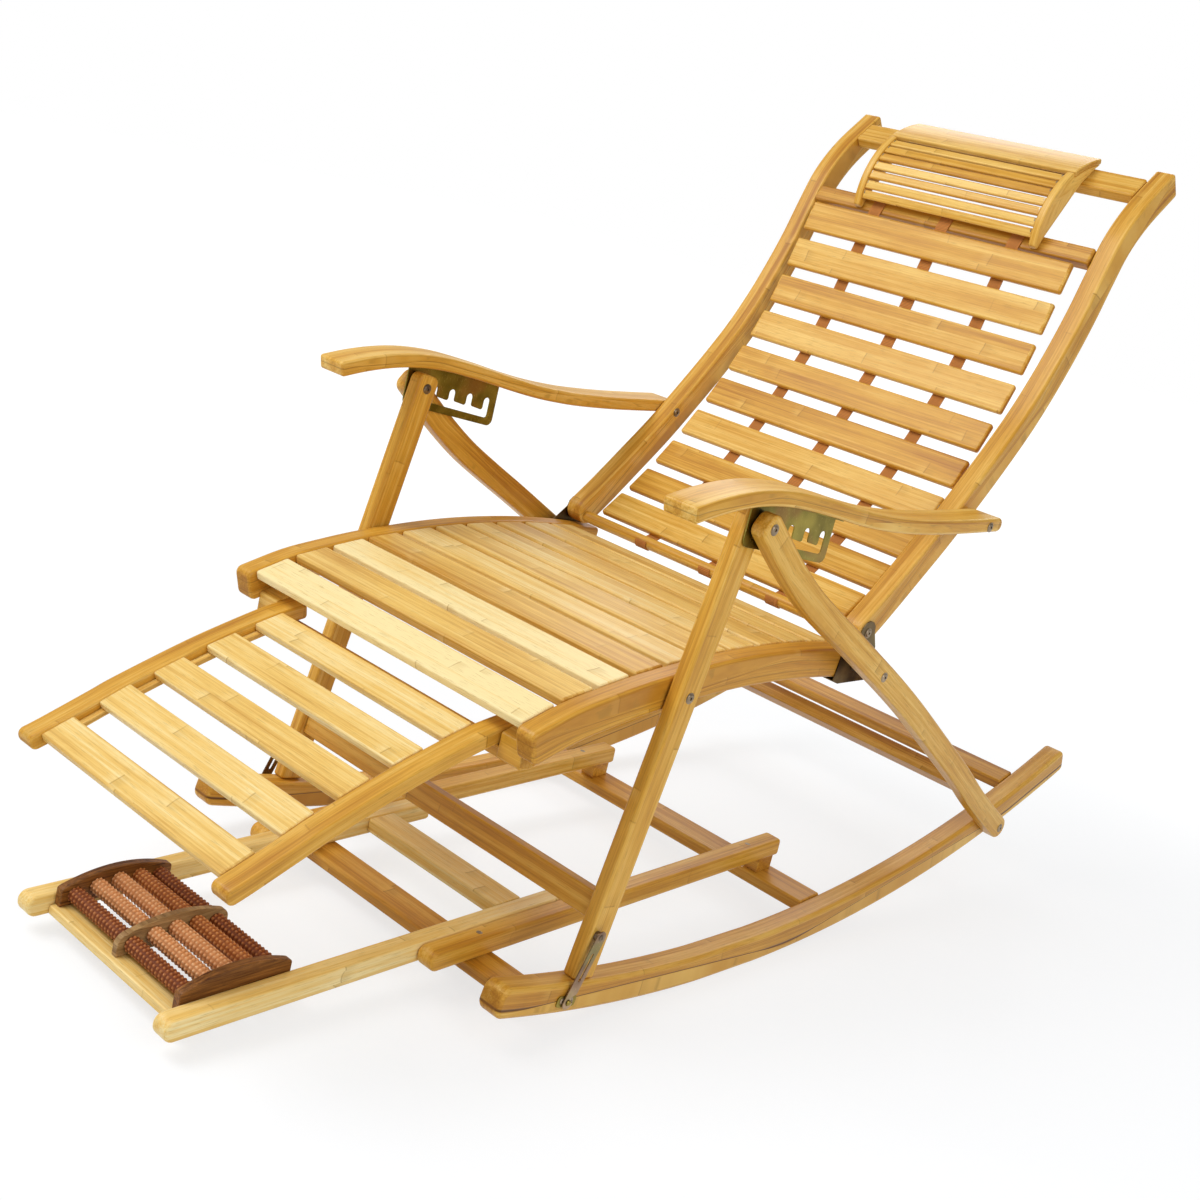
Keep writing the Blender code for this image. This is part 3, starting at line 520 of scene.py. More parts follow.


# dark, middle and light shade, then the lines on the side faces: their places, depth and width; the grooved bamboo's
# line is painted shade of a groove, the other lines are glue lines
bamboos = {
    "honeyBamboo": ((0.42, 0.155, 0.01), (0.68, 0.35, 0.04), (0.89, 0.6, 0.17)),
    "groovedBamboo": ((0.4, 0.145, 0.009), (0.65, 0.32, 0.034), (0.86, 0.56, 0.14), (-0.007,), 1.0, 0.0026),
    "ruledBamboo": ((0.41, 0.15, 0.009), (0.66, 0.33, 0.036), (0.87, 0.57, 0.15), (-0.0075, 0.006), 0.34),
    "layeredBamboo": ((0.42, 0.155, 0.01), (0.69, 0.36, 0.045), (0.9, 0.62, 0.19), (0.001,), 0.4, 0.0013),
    "paleBamboo": ((0.56, 0.27, 0.036), (0.84, 0.545, 0.145), (0.95, 0.775, 0.39)),
    # a darker copy of the honey bamboo: painted shade for the crossbars and stretchers that lie in shade under and
    # behind the chair
    "shadeDarkenedBamboo": ((0.33, 0.115, 0.006), (0.58, 0.27, 0.026), (0.78, 0.47, 0.095))}
honey, grooved, ruled, layered, pale, shadeDarkened = (bamboo(name, *look) for name, look in bamboos.items())
walnut = stainedWood("walnutStain", (0.07, 0.018, 0.002), (0.36, 0.145, 0.03), 0.36)
ash = stainedWood("ashStain", (0.17, 0.08, 0.022), (0.52, 0.32, 0.13), 0.42)
redRoller = rollerWood("redRoller", (0.2, 0.044, 0.007), (0.56, 0.215, 0.065))
midRoller = rollerWood("midRoller", (0.39, 0.115, 0.024), (0.8, 0.37, 0.125))
clayRoller = rollerWood("clayRoller", (0.68, 0.28, 0.1), (0.98, 0.6, 0.32))
webbing = webbingCloth("webbing", (0.58, 0.215, 0.04))
zinc = platedSteel("yellowZinc", (0.12, 0.095, 0.012), (0.34, 0.27, 0.05), 0.26, (0.28, 0.13, 0.04))
bronze = platedSteel("linkBronze", (0.16, 0.095, 0.06), (0.48, 0.32, 0.2), 0.26, (0.24, 0.24, 0.07))
olive = platedSteel("oliveZinc", (0.055, 0.036, 0.016), (0.21, 0.14, 0.055), 0.28, (0.16, 0.15, 0.035))
darkSteel = platedSteel("darkSteel", (0.12, 0.085, 0.055), (0.4, 0.31, 0.21), 0.27)
print("finishes made")


# ---- rocker base
rocker = {"inner": 0.2595, "wide": 0.033, "deep": 0.038, "radius": 2.12, "low": -0.045, "stand": 0.06,
          "front": -0.4785, "rear": 0.7988, "ends": (0.014, 0.01), "steps": 6, "edge": 0.006, "points": 72,
          "tone": 0.5, "shift": 0.13}
rockCentre = rocker["radius"] * math.cos(rocker["stand"] / rocker["radius"])


def rockAngle(y, up=0.0):
    return math.asin((y - rocker["low"]) / (rocker["radius"] - up))


def rockerTop(y, up):
    return Vector((y, rockCentre - (rocker["radius"] - up) * math.cos(rockAngle(y, up))))


def rockerLine():
    first = rockAngle(rocker["front"] + rocker["ends"][0])
    last = rockAngle(rocker["rear"] - rocker["ends"][1])
    r = rocker["radius"] - rocker["deep"] / 2
    level = rocker["deep"] / 2
    stand = rocker["stand"] / rocker["radius"]
    line = []
    for k in range(rocker["points"] + 1):
        a = first + (last - first) * k / rocker["points"]
        z = rockCentre - r * math.cos(a)
        line.append(Vector((rocker["low"] + r * math.sin(a), max(z, level) if abs(a) < stand else z)))
    return line


rockPath = rockerLine()
# the dark line along the rocker's sides is painted shade of its groove
for s, Tag, tag in sides:
    dress(sideBar("rocker" + Tag, rockPath, rocker, s), "rocker_base", "bamboo_honey", grooved, "rocker_" + tag)

# place, width, thickness and tone
crossbars = {"Front": (-0.388, 0.045, 0.014, 0.46), "Middle": (0.169, 0.045, 0.018, 0.5),
             "Rear": (0.67, 0.036, 0.018, 0.42)}
foot = {"slope": 0.05, "lineZ": 0.0355, "lineY": -0.45, "deep": 0.025, "edge": 0.0042,
        "ends": (0.0115, 0.005), "steps": 6}


def footLine(y):
    return foot["lineZ"] + foot["slope"] * (y - foot["lineY"])


def boardOutline(centre, along, wide, thick):
    # centre of the upper face, direction of the width
    t = Vector(along).normalized()
    n = Vector((t.y, -t.x))
    c = Vector(centre)
    return [c - t * wide / 2, c + t * wide / 2, c + t * wide / 2 + n * thick, c - t * wide / 2 + n * thick]


def footBoard(y0, y1, up, thick):
    # a board across, whose top is the given height over the foot bars' lower line
    return [(y, footLine(y) + up - thick) for y in (y0, y1)] + [(y, footLine(y) + up) for y in (y1, y0)]


def crossbar(name, outline, half, edge, body, slotName, finish, node, tone, shift):
    return dress(board(name, outline, -half, half, edge, 3, tone, shift), body, slotName, finish, node)


# the crossbars under the chair take the darker bamboo: painted shade
for name, (y, wide, thick, tone) in crossbars.items():
    if name == "Front":  # its top follows the foot bars, which lie on it
        outline = footBoard(y - wide / 2, y + wide / 2, -gap, thick)
    else:
        a = rockAngle(y)
        outline = boardOutline(rockerTop(y, rocker["deep"] - 0.001), (math.cos(a), math.sin(a)), wide, thick)
    crossbar("rockerCrossbar" + name, outline, rocker["inner"] - gap, 0.003, "rocker_base", "bamboo_amber", shadeDarkened,
             "rocker_crossbar_" + name.lower(), tone, y)


def footBar(name, bar, s):
    nose, tail = foot["ends"]
    path = [Vector((y, footLine(y) + foot["deep"] / 2)) for y in (bar["front"] + nose, bar["rear"] - tail)]
    return sideBar(name, path, {**foot, **bar}, s, 3)


guide = {"inner": 0.1494, "wide": 0.027, "front": -0.468, "rear": 0.194, "tone": 0.54, "shift": 0.4,
         "riserHalf": 0.016, "riserY": 0.169}
slide = {"inner": 0.123, "wide": 0.026, "front": -0.7945, "rear": -0.21, "tone": 0.6, "shift": 0.2}
for s, Tag, tag in sides:
    c = rockerTop(guide["riserY"], rocker["deep"] - 0.001)
    slope = math.tan(rockAngle(guide["riserY"]))
    ends = (guide["riserY"] - guide["riserHalf"], guide["riserY"] + guide["riserHalf"])
    outline = [(e, c.y + slope * (e - c.x) + gap) for e in ends] + [(e, footLine(e) + 0.003) for e in reversed(ends)]
    riser = board("riser", outline, s * (guide["inner"] + 0.0015), s * (guide["inner"] + guide["wide"] - 0.0015),
                  0.0012, 2, 0.4)
    piece = joined([footBar("footGuide" + Tag, guide, s), riser], "footGuide" + Tag)
    dress(piece, "rocker_base", "bamboo_honey", honey, "foot_guide_" + tag)
    dress(footBar("footSlide" + Tag, slide, s), "foot_frame", "bamboo_pale", pale, "foot_slide_" + tag)

boards = {"footBoardFront": ("foot_board_front", -0.77, -0.735, 0.013, 0.011),
          "footBoardRear": ("foot_board_rear", -0.648, -0.616, 0.013, 0.011),
          "footSlideCrossbar": ("foot_slide_crossbar", -0.32, -0.278, 0.024, 0.018)}
for name, (node, y0, y1, up, thick) in boards.items():
    crossbar(name, footBoard(y0, y1, up, thick), slide["inner"] - gap, 0.0022, "foot_frame", "bamboo_pale", pale, node,
             0.58, y0)
print("rocker base and foot frame made")

# ---- foot massager
massager = {"front": -0.764, "rear": -0.625, "end": 0.0215, "mid": 0.0345, "boardUp": 0.013,
            "pitch": 0.0263, "rows": 5, "up": 0.019, "arch": 0.0062, "radius": 0.01,
            "inner": 0.0045, "outer": 0.1106, "cheek": 0.1112, "ring": 0.0064, "knobs": 11, "knobHigh": 0.0018,
            "corner": 0.0022, "bow": 0.0085}


def massagerBase(y):
    return footLine(y) + massager["boardUp"] + gap


def archOutline(corner):
    # a low arch, whose upper corners are rounded off by the given radius
    y0, y1, low, high = (massager[key] for key in ("front", "rear", "end", "mid"))
    out = [(y, massagerBase(y)) for y in (y0, y1)]
    for k in range(33):
        t = math.cos(math.pi * k / 32)
        y = y1 + (y0 - y1) * (0.5 - 0.5 * t)
        near = corner - min(y - y0, y1 - y)
        drop = corner - math.sqrt(max(0.0, corner * corner - near * near)) if near > 0 else 0.0
        out.append((y, massagerBase(y) + low + (high - low) * (1 - t * t) - drop))
    return out


middle = [(massager["front"], 0.04), (massager["rear"], 0.047)]
for s, Tag, tag in sides:
    piece = board("massagerCheek" + Tag, archOutline(massager["corner"]), s * massager["cheek"],
                  s * (slide["inner"] - 2 * gap), 0.0013, 3, 0.5, 0.3 * s, middle)
    dress(piece, "foot_frame", "walnut", walnut, "massager_cheek_" + tag)
half = massager["inner"] - gap
piece = board("massagerMiddle", archOutline(massager["bow"]), -half, half, 0.0011, 3, 0.5, 0.0, middle)
dress(piece, "foot_frame", "ash_wood", ash, "massager_middle")


def knobbedRoller():
    # one half of a roller, from its inner end outwards, with rings of small studs
    m = massager
    long = m["outer"] - m["inner"]
    steps = int(round(long / (m["ring"] / 6)))
    rings = [(m["inner"], 0.0024), (m["inner"], m["radius"] * 0.84)]
    rings += [(m["inner"] + long * k / steps, m["radius"]) for k in range(1, steps)]
    rings += [(m["outer"], m["radius"] * 0.84), (m["outer"], 0.0024), (m["cheek"] + 0.006, 0.0024)]
    half = lathe("roller", 0, 0, rings, m["knobs"] * 5)
    x, v, w = coordinates(half).T
    body = np.hypot(v, w) > m["radius"] * 0.95
    turn = np.arctan2(w, v) * m["knobs"]
    ring = (x - m["inner"]) * 2 * np.pi / m["ring"] + np.pi
    ridge = np.clip(0.5 + 0.9 * np.cos(ring), 0, 1)
    stud = np.clip(0.5 + 0.9 * np.cos(turn), 0, 1)
    knob = ridge * (0.25 + 0.75 * stud)
    scale = np.where(body, 1 - m["knobHigh"] / m["radius"] * (1 - knob), 1)
    reshape(half, lambda x, v, w: (x, v * scale, w * scale))
    # lift drives the painted shade between the studs and the painted highlight on their tops
    setAttribute(half, "lift", np.where(body, knob, 0.25))
    return half


rollerBase = knobbedRoller()
stains = (redRoller, clayRoller, clayRoller, midRoller, redRoller)  # from the front
for row in range(massager["rows"]):
    y = (massager["front"] + massager["rear"]) / 2 + massager["pitch"] * (row - 2)
    t = (row - 2) / 2
    z = massagerBase(y) + massager["up"] - massager["arch"] * t * t
    halves = []
    for s in (1, -1):
        h = copyOf(rollerBase, "rollerHalf")
        turn = 0.7 * row + (0.3 if s > 0 else 0)
        c, sn = math.cos(turn), math.sin(turn)
        # turned half round about z for the other side, so its faces still point out
        reshape(h, lambda x, v, w: (s * x, y + s * (v * c - w * sn), z + v * sn + w * c))
        halves.append(h)
    piece = joined(halves, "massageRoller%d" % (row + 1))
    dress(piece, "roller_%d" % (row + 1), "roller_wood", stains[row], "massage_roller_%d" % (row + 1))
bpy.data.objects.remove(rollerBase)
print("massager made")

# ---- seat frame
pivots = {"legTop": (-0.238, 0.606), "legSeat": (-0.2745, 0.4), "rearSeat": (0.091, 0.405), "hinge": (0.102, 0.447),
          "arm": (0.247, 0.605), "rocker": (0.578, 0.113), "link": (-0.333, 0.115), "catch": (-0.3635, 0.04)}
seat = {"top": [(-0.486, 0.372), (-0.43, 0.391), (-0.38, 0.402), (-0.32, 0.413), (-0.26, 0.421), (-0.2, 0.4275),
                (-0.14, 0.4315), (-0.08, 0.433), (-0.02, 0.4325), (0.04, 0.4295), (0.09, 0.4255), (0.13, 0.4215)],
        "deep": 0.04, "inner": 0.238, "wide": 0.029, "edge": 0.005, "ends": (0.0095, 0.006), "steps": 6,
        "tone": 0.47, "shift": 0.21, "slats": 10, "slatWide": 0.048, "slatThick": 0.012, "slatEdge": 0.003,
        "first": -0.462, "last": 0.0485,
        "tones": (0.86, 0.44, 0.84, 0.26, 0.52, 0.46, 0.56, 0.44, 0.52, 0.48)}
seatFine = smoothCurve(seat["top"], 240)
seatPath = offsetPath(smoothCurve(seat["top"], 44), -seat["deep"] / 2)
for s, Tag, tag in sides:
    dress(sideBar("seatRail" + Tag, seatPath, seat, s), "seat_frame", "bamboo_honey", ruled, "seat_rail_" + tag)

pitch = (seat["last"] - seat["first"]) / (seat["slats"] - 1)
places = [pointAt(seatFine, seat["first"] + pitch * k) for k in range(seat["slats"])]
slats = slatRow("seatSlat", 2 * (seat["inner"] - gap), seat, places, seat["tones"], 1)
strip = offsetPath([seatFine[k] for k in range(5, 214, 6)], -(seat["slatThick"] + 0.004 - 0.0006))
slats += ledgers(strip, 0.008, seat["inner"], 0.35)
dress(joined(slats, "seatSlats"), "seat_frame", "bamboo_pale", pale, "seat_slats")

leg = {"inner": 0.269, "wide": 0.02, "deep": 0.0355, "crown": 0.018, "edge": 0.004, "comb": 0.004,
       "stretcherZ": 0.141}
legOuter = leg["inner"] + leg["wide"]
rearLeg = {"inner": legOuter + leg["comb"], "wide": 0.022, "deep": 0.034, "edge": 0.004, "ends": (0.012, 0.0165),
           "steps": 6, "tone": 0.48, "shift": 0.57, "stretcherY": 0.437}
rearOuter = rearLeg["inner"] + rearLeg["wide"]
rearPoints = [pivots["legTop"], (-0.18, 0.56), (-0.12, 0.519), (-0.06, 0.486), (0.0, 0.455), (0.06, 0.423),
              (0.12, 0.391), (0.18, 0.3575), (0.24, 0.322), (0.32, 0.273), (0.4, 0.224), (0.48, 0.171),
              pivots["rocker"]]
legTop = Vector(pivots["legTop"])
lean = (Vector(pivots["legSeat"]) - legTop).normalized()
across = Vector((-lean.y, lean.x))
feet = []
for d in (-leg["deep"] / 2, leg["deep"] / 2):
    p = legTop + across * d
    while p.y > rockerTop(p.x, rocker["deep"] + 0.0005).y:
        p = p + lean * 0.0001
    feet.append(p - lean * 0.0001)
crown = barEnd(legTop - lean * (leg["crown"] - 0.01), -lean, leg["deep"] / 2, 0.01, 6)
if (crown[0] - feet[1]).length > (crown[-1] - feet[1]).length:
    crown.reverse()
legLine = [(feet[0] + feet[1]) / 2, legTop - lean * leg["crown"]]
rearPath = smoothCurve(rearPoints, 60)


def boltBlank(radius, high, socket=0.62):
    # a button head facing +x on the plane x = 0, with a hexagon socket
    rings = [(-0.0004, radius), (high * 0.35, radius), (high * 0.8, radius * 0.86), (high, radius * 0.7)]
    head = lathe("bolt", 0, 0, rings, 36)
    clearSelection()
    bpy.ops.mesh.primitive_cylinder_add(vertices=6, radius=radius * socket * 0.62, depth=high * 2.2,
                                        location=(high * 1.25, 0, 0), rotation=(0, math.pi / 2, 0))
    cutOut(head, bpy.context.object)
    ring = lathe("washer", 0, 0, [(-0.0003, radius * 1.22), (0.0006, radius * 1.22)], 36, 0.0002)
    return joined([head, ring], "boltBlank")


def boltAt(base, name, x, point, s, body, *nodes):
    piece = copyOf(base, name)
    reshape(piece, lambda high, v, w: (x + s * high, point[0] + s * v, point[1] + w))
    return dress(piece, body, "dark_steel", darkSteel, *nodes)


bigBolt = boltBlank(0.0056, 0.0019)
smallScrew = boltBlank(0.0032, 0.001, 0.9)
for s, Tag, tag in sides:
    piece = board("frontLeg" + Tag, feet + crown, s * leg["inner"], s * legOuter, leg["edge"], 4, 0.52, 0.33 * s,
                  legLine)
    dress(piece, "seat_frame", "bamboo_honey", honey, "front_leg_" + tag)
    boltAt(bigBolt, "seatBoltFront" + Tag, s * legOuter, pivots["legSeat"], s, "seat_frame")
    boltAt(bigBolt, "crossingNut" + Tag, s * leg["inner"], pivots["legTop"], -s, "seat_frame")
    dress(sideBar("rearLeg" + Tag, rearPath, rearLeg, s), "seat_frame", "bamboo_honey", honey, "rear_leg_" + tag)
    for name, pivot, nodes in (("crossingBolt", "legTop", ()), ("seatBoltRear", "rearSeat", ()),
                               ("rockerBolt", "rocker", ("rocker_bolt_" + tag,))):
        boltAt(bigBolt, name + Tag, s * rearOuter, pivots[pivot], s, "seat_frame", *nodes)
    sleeve = lathe("seatSleeve" + Tag, *pivots["rearSeat"],
                   [(s * 0.2689, 0.0088), (s * (rearLeg["inner"] - 0.0001), 0.0088)], 32, 0.0006)
    dress(sleeve, "seat_frame", "dark_steel", darkSteel)
    boltAt(bigBolt, "hingeBolt" + Tag, s * 0.2686, pivots["hinge"], s, "seat_frame", "hinge_bolt_" + tag)

# the leg stretchers take the darker bamboo: painted shade
at = legTop + lean * ((legTop.y - leg["stretcherZ"]) / -lean.y) + Vector((lean.y, -lean.x)) * 0.01
crossbar("frontLegStretcher", boardOutline(at, -lean, 0.032, 0.02), leg["inner"] - gap, 0.003, "seat_frame",
         "bamboo_amber", shadeDarkened, "front_leg_stretcher", 0.5, 0.9)
p, t = pointAt(smoothCurve(rearPoints, 240), rearLeg["stretcherY"])
crossbar("rearLegStretcher", boardOutline(p - Vector((t.y, -t.x)) * 0.011, t, 0.032, 0.022), rearLeg["inner"] - gap,
         0.003, "seat_frame", "bamboo_amber", shadeDarkened, "rear_leg_stretcher", 0.44, 1.7)
for s, Tag, tag in sides:
    for node, finish in (("hinge_bracket_", olive), ("link_catch_", zinc)):
        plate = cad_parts[node + tag]
        plate.data.materials.clear()
        plate.data.materials.append(finish)
print("seat frame made")

# ---- calf rest and its support
calf = {"top": [(-0.788, 0.216), (-0.768, 0.225), (-0.715, 0.251), (-0.684, 0.2665), (-0.6, 0.303), (-0.54, 0.3255),
                (-0.49, 0.342), (-0.445, 0.352)],
        "deep": 0.0185, "inner": 0.171, "wide": 0.029, "edge": 0.0032, "ends": (0.008, 0.005), "steps": 5,
        "tone": 0.52, "shift": 0.11, "slatAt": (-0.764, -0.699, -0.634, -0.569, -0.5045), "slatWide": 0.041,
        "slatThick": 0.01, "slatEdge": 0.0026, "support": (-0.47, -0.45)}
calfFine = smoothCurve(calf["top"], 240)
calfPath = offsetPath(smoothCurve(calf["top"], 40), -calf["deep"] / 2)[:-1]
for s, Tag, tag in sides:
    dress(sideBar("calfRail" + Tag, calfPath, calf, s), "calf_rest", "bamboo_honey", honey, "calf_rail_" + tag)
places = [pointAt(calfFine, y) for y in calf["slatAt"]]
slats = slatRow("calfSlat", 2 * (calf["inner"] - gap), calf, places, slatTones(2, 5, 0.5, 0.64), 20)
strip = offsetPath([pointAt(calfFine, y)[0] for y in (-0.775, -0.73, -0.68, -0.62, -0.56, -0.492)],
                   -(calf["slatThick"] + 0.003 - 0.0005))
slats += ledgers(strip, 0.006, calf["inner"], 0.4)
dress(joined(slats, "calfSlats"), "calf_rest", "bamboo_pale", pale, "calf_slats")

y0, y1 = calf["support"]
restZ = min(q.y for q in offsetPath(smoothCurve(calf["top"], 80), -calf["deep"]) if y0 <= q.x) - gap
half = seat["inner"] - gap
blocks = [board("calfSupport", [(y0, restZ - 0.014), (y1, restZ - 0.014), (y1, restZ), (y0, restZ)], -half, half,
                0.0022, 3, 0.5, 0.7)]
outline = [(y0 - 0.002, restZ - 0.012), (y1 + 0.004, restZ - 0.012), (y1 + 0.004, restZ + 0.026),
           (y0 - 0.002, restZ + 0.017)]
blocks += [board("block", outline, s * (calf["inner"] + calf["wide"] + 0.002), s * (seat["inner"] - 0.0004),
                 0.002, 3, 0.62, 0.2) for s in (1, -1)]
dress(joined(blocks, "calfSupport"), "seat_frame", "bamboo_pale", honey, "calf_support")
print("calf rest made")

# ---- back
back = {"front": [(0.5685, 1.1045), (0.511, 1.052), (0.474, 1.003), (0.452, 0.95), (0.434, 0.9), (0.412, 0.85),
                  (0.386, 0.8), (0.353, 0.747), (0.313, 0.695), (0.27, 0.644), (0.222, 0.59), (0.17, 0.538),
                  (0.122, 0.491), (0.0885, 0.4605)],
        "deep": 0.038, "inner": seat["inner"], "wide": seat["wide"], "edge": 0.0036, "ends": (0.005, 0.019),
        "steps": 6, "tone": 0.49, "shift": 0.43,
        "slatMid": [(0.429, 0.9345), (0.411, 0.876), (0.392, 0.8175), (0.368, 0.76), (0.336, 0.704), (0.301, 0.651),
                    (0.262, 0.5995), (0.22, 0.5505), (0.1755, 0.5065), (0.129, 0.4685)],
        "slatHalf": 0.224, "slatWide": 0.046, "slatThick": 0.01, "slatEdge": 0.0034,
        "strapWide": 0.02, "strapThick": 0.0015, "strapAt": (-0.12, 0.0, 0.12), "topThick": 0.018,
        "topBar": ((0.5525, 1.092), (0.5215, 1.065)), "strapBar": ((0.4625, 0.983), (0.4495, 0.96)),
        "strapBarThick": 0.02,
        "lowBar": (0.098, 0.44), "lowRadius": 0.0085}
backPath = offsetPath(smoothCurve(back["front"], 64), back["deep"] / 2)
backPath[-1] = Vector(pivots["hinge"])
for s, Tag, tag in sides:
    dress(sideBar("backRail" + Tag, backPath, back, s), "backrest", "bamboo_honey", ruled, "back_rail_" + tag)

fineMid = smoothCurve(back["slatMid"], 240)
slatLine = []
for q in back["slatMid"]:
    k = min(range(1, len(fineMid) - 1), key=lambda i: (fineMid[i] - Vector(q)).length)
    slatLine.append((Vector(q), (fineMid[k + 1] - fineMid[k - 1]).normalized()))
slats = slatRow("backSlat", 2 * back["slatHalf"], back, [(q, -t) for q, t in slatLine],
                slatTones(5, len(slatLine), 0.44, 0.6), 40)
dress(joined(slats, "backSlats"), "backrest", "bamboo_honey", honey, "back_slats")


def barFace(ends):
    # the corners of a crossbar's front face, the direction up it and the direction out of it
    high, low = (Vector(p) for p in ends)
    up = (high - low).normalized()
    return (high, low), up, Vector((-up.y, up.x))


c2, up2, front2 = barFace(back["strapBar"])
off = gap + back["strapThick"] / 2
strapLine = [c2[0] - front2 * (back["strapBarThick"] * 0.7) + up2 * off, c2[0] + front2 * off + up2 * off,
             c2[1] + front2 * off]
for q, t in slatLine:
    c = q + Vector((-t.y, t.x)) * (back["slatThick"] + back["strapThick"] / 2 + 0.0001)
    strapLine += [c - t * 0.017, c + t * 0.017]
strapLine += arcPoints(*back["lowBar"], back["lowRadius"] + off, range(20, -200, -12))
outline, half = barOutline(strapLine, back["strapThick"], 0.0004, 0.0004, 1), back["strapWide"] / 2
straps = [grainAlong(sideBlank("strap", outline, x - half, x + half), strapLine, 0.5) for x in back["strapAt"]]
dress(joined(straps, "backStraps"), "backrest", "bamboo_honey", webbing)

# the strap crossbar, in shade behind the headrest, takes the darker bamboo (painted shade); the top crossbar takes
# honey
for name, node, edge, thick, tone in (
        ("backTopCrossbar", "back_top_crossbar", back["topBar"], back["topThick"], 0.56),
        ("backStrapCrossbar", "back_strap_crossbar", back["strapBar"], back["strapBarThick"], 0.52)):
    a, b = Vector(edge[0]), Vector(edge[1])
    crossbar(name, boardOutline((a + b) / 2, a - b, (a - b).length, thick), seat["inner"] - gap, 0.0034, "backrest",
             "bamboo_amber", shadeDarkened if "Strap" in name else honey, node, tone, thick * 40)
half, r = seat["inner"] - gap, back["lowRadius"]
low = lathe("backLowerCrossbar", *back["lowBar"], [(-half, r), (half, r)], 40, 0.001)
grainAcross(low, 0.5)
dress(low, "backrest", "bamboo_honey", honey, "back_lower_crossbar")
print("back made")

# ---- headrest
rest = {"front": [(0.442, 0.966), (0.441, 0.988), (0.446, 1.014), (0.458, 1.04), (0.476, 1.063), (0.5, 1.082),
                  (0.53, 1.097), (0.56, 1.107)],
        "half": 0.158, "cheek": 0.012, "slats": 7, "slatWide": 0.013, "slatThick": 0.006, "slatEdge": 0.0022,
        "inset": 0.0022, "first": 0.0165, "pitch": 0.0165, "boardAt": 0.128, "boardThick": 0.008}
# size of the dark plates that paint the shade in the recess at each slat end
recessShade = {"slatWide": 0.005, "slatThick": 0.0012, "slatEdge": 0.0004, "length": 0.0018, "after": 0.0035}
restInner = rest["half"] - rest["cheek"]
arc = smoothCurve(rest["front"], 240)
step = (arc[1] - arc[0]).length
boardStart = int(round(rest["boardAt"] / step))
inside = offsetPath(arc, -(rest["boardThick"] + gap))
under = offsetPath(arc, -rest["boardThick"])
c1, up1, front1 = barFace(back["topBar"])
plate = arc[0:boardStart - 4:6] + [arc[boardStart], inside[boardStart]] + inside[boardStart + 10:230:10]
plate += [inside[-1], c1[0] + front1 * 0.0005 - up1 * 0.002, c1[1] + front1 * 0.0005, c2[0] + front2 * 0.0005,
          c2[1] + front2 * 0.0005 + up2 * 0.002]
middle = arc[0:241:8]
parts = [board("cheek", plate, s * restInner, s * rest["half"], 0.0022, 3, 0.56, 0.6 * s, middle) for s in (1, -1)]


def restPlace(distance, deep):
    # a point this far along the headrest's curve and this deep behind it, and the curve's direction there
    j = int(round(distance / step))
    t = (arc[j + 2] - arc[j - 2]).normalized()
    return arc[j] + Vector((t.y, -t.x)) * deep, t


slatStarts = [rest["first"] + rest["pitch"] * k for k in range(rest["slats"])]
parts += slatRow("restSlat", 2 * restInner + 0.002, rest,
                 [restPlace(d, rest["inset"]) for d in slatStarts], slatTones(0, rest["slats"], 0.52, 0.66), 60)
dress(joined(parts, "headrestPillow"), "backrest", "bamboo_pale", honey, "headrest_pillow")
# dark plates where each slat meets a cheek: painted shade of the recess there
recessShades = []
for s in (1, -1):
    row = slatRow("recessShade", recessShade["length"], recessShade, [restPlace(d + recessShade["after"], rest["inset"] - 0.0002) for d in slatStarts],
                  [0.5] * rest["slats"], 0)
    for piece in row:
        reshape(piece, lambda x, v, w: (x + s * (restInner - 0.0022), v, w))
    recessShades += row
dress(joined(recessShades, "headrestRecessShade"), "backrest", "dark_steel", darkSteel)
across = list(range(boardStart + 3, 236, 12)) + [240]
outline = [arc[k] for k in across] + [under[k] for k in reversed(across)]
crossbar("headrestBoard", outline, rest["half"], 0.0022, "backrest", "bamboo_honey", honey, "headrest_board", 0.66, 0.3)
print("headrest made")

# ---- arms
arm = {"top": [(-0.382, 0.632), (-0.35, 0.64), (-0.315, 0.6465), (-0.28, 0.6505), (-0.245, 0.6515), (-0.205, 0.6495),
               (-0.165, 0.6445), (-0.12, 0.6375), (-0.08, 0.6305), (-0.03, 0.623), (0.015, 0.6185), (0.065, 0.6155),
               (0.14, 0.6145), (0.21, 0.6155), (0.27, 0.617)],
       "deep": 0.019, "inner": 0.2685, "wide": 0.048, "edge": 0.0042, "ends": (0.004, 0.009), "steps": 5,
       "tone": 0.52, "shift": 0.27}
comb = {"pitch": 0.0335, "notches": 5, "drop": 0.004, "slot": 0.011, "thick": 0.0016, "front": -0.257,
        "rear": -0.086, "low": 0.555, "slope": 0.145, "corner": 0.009, "strip": 0.0105, "channel": 0.0095,
        "flange": 0.013, "tooth": 0.0036}
armPath = offsetPath(smoothCurve(arm["top"], 52), -arm["deep"] / 2)
armFine = smoothCurve(arm["top"], 240)


def underArm(y, down):
    p, t = pointAt(armFine, y)
    return y, p.y - (arm["deep"] + gap) / t.x - down


def combBottom(y):
    return comb["low"] + comb["slope"] * (comb["rear"] - y)


def combCorner(y, turns):
    return arcPoints(y, combBottom(y) + comb["corner"], comb["corner"], turns)


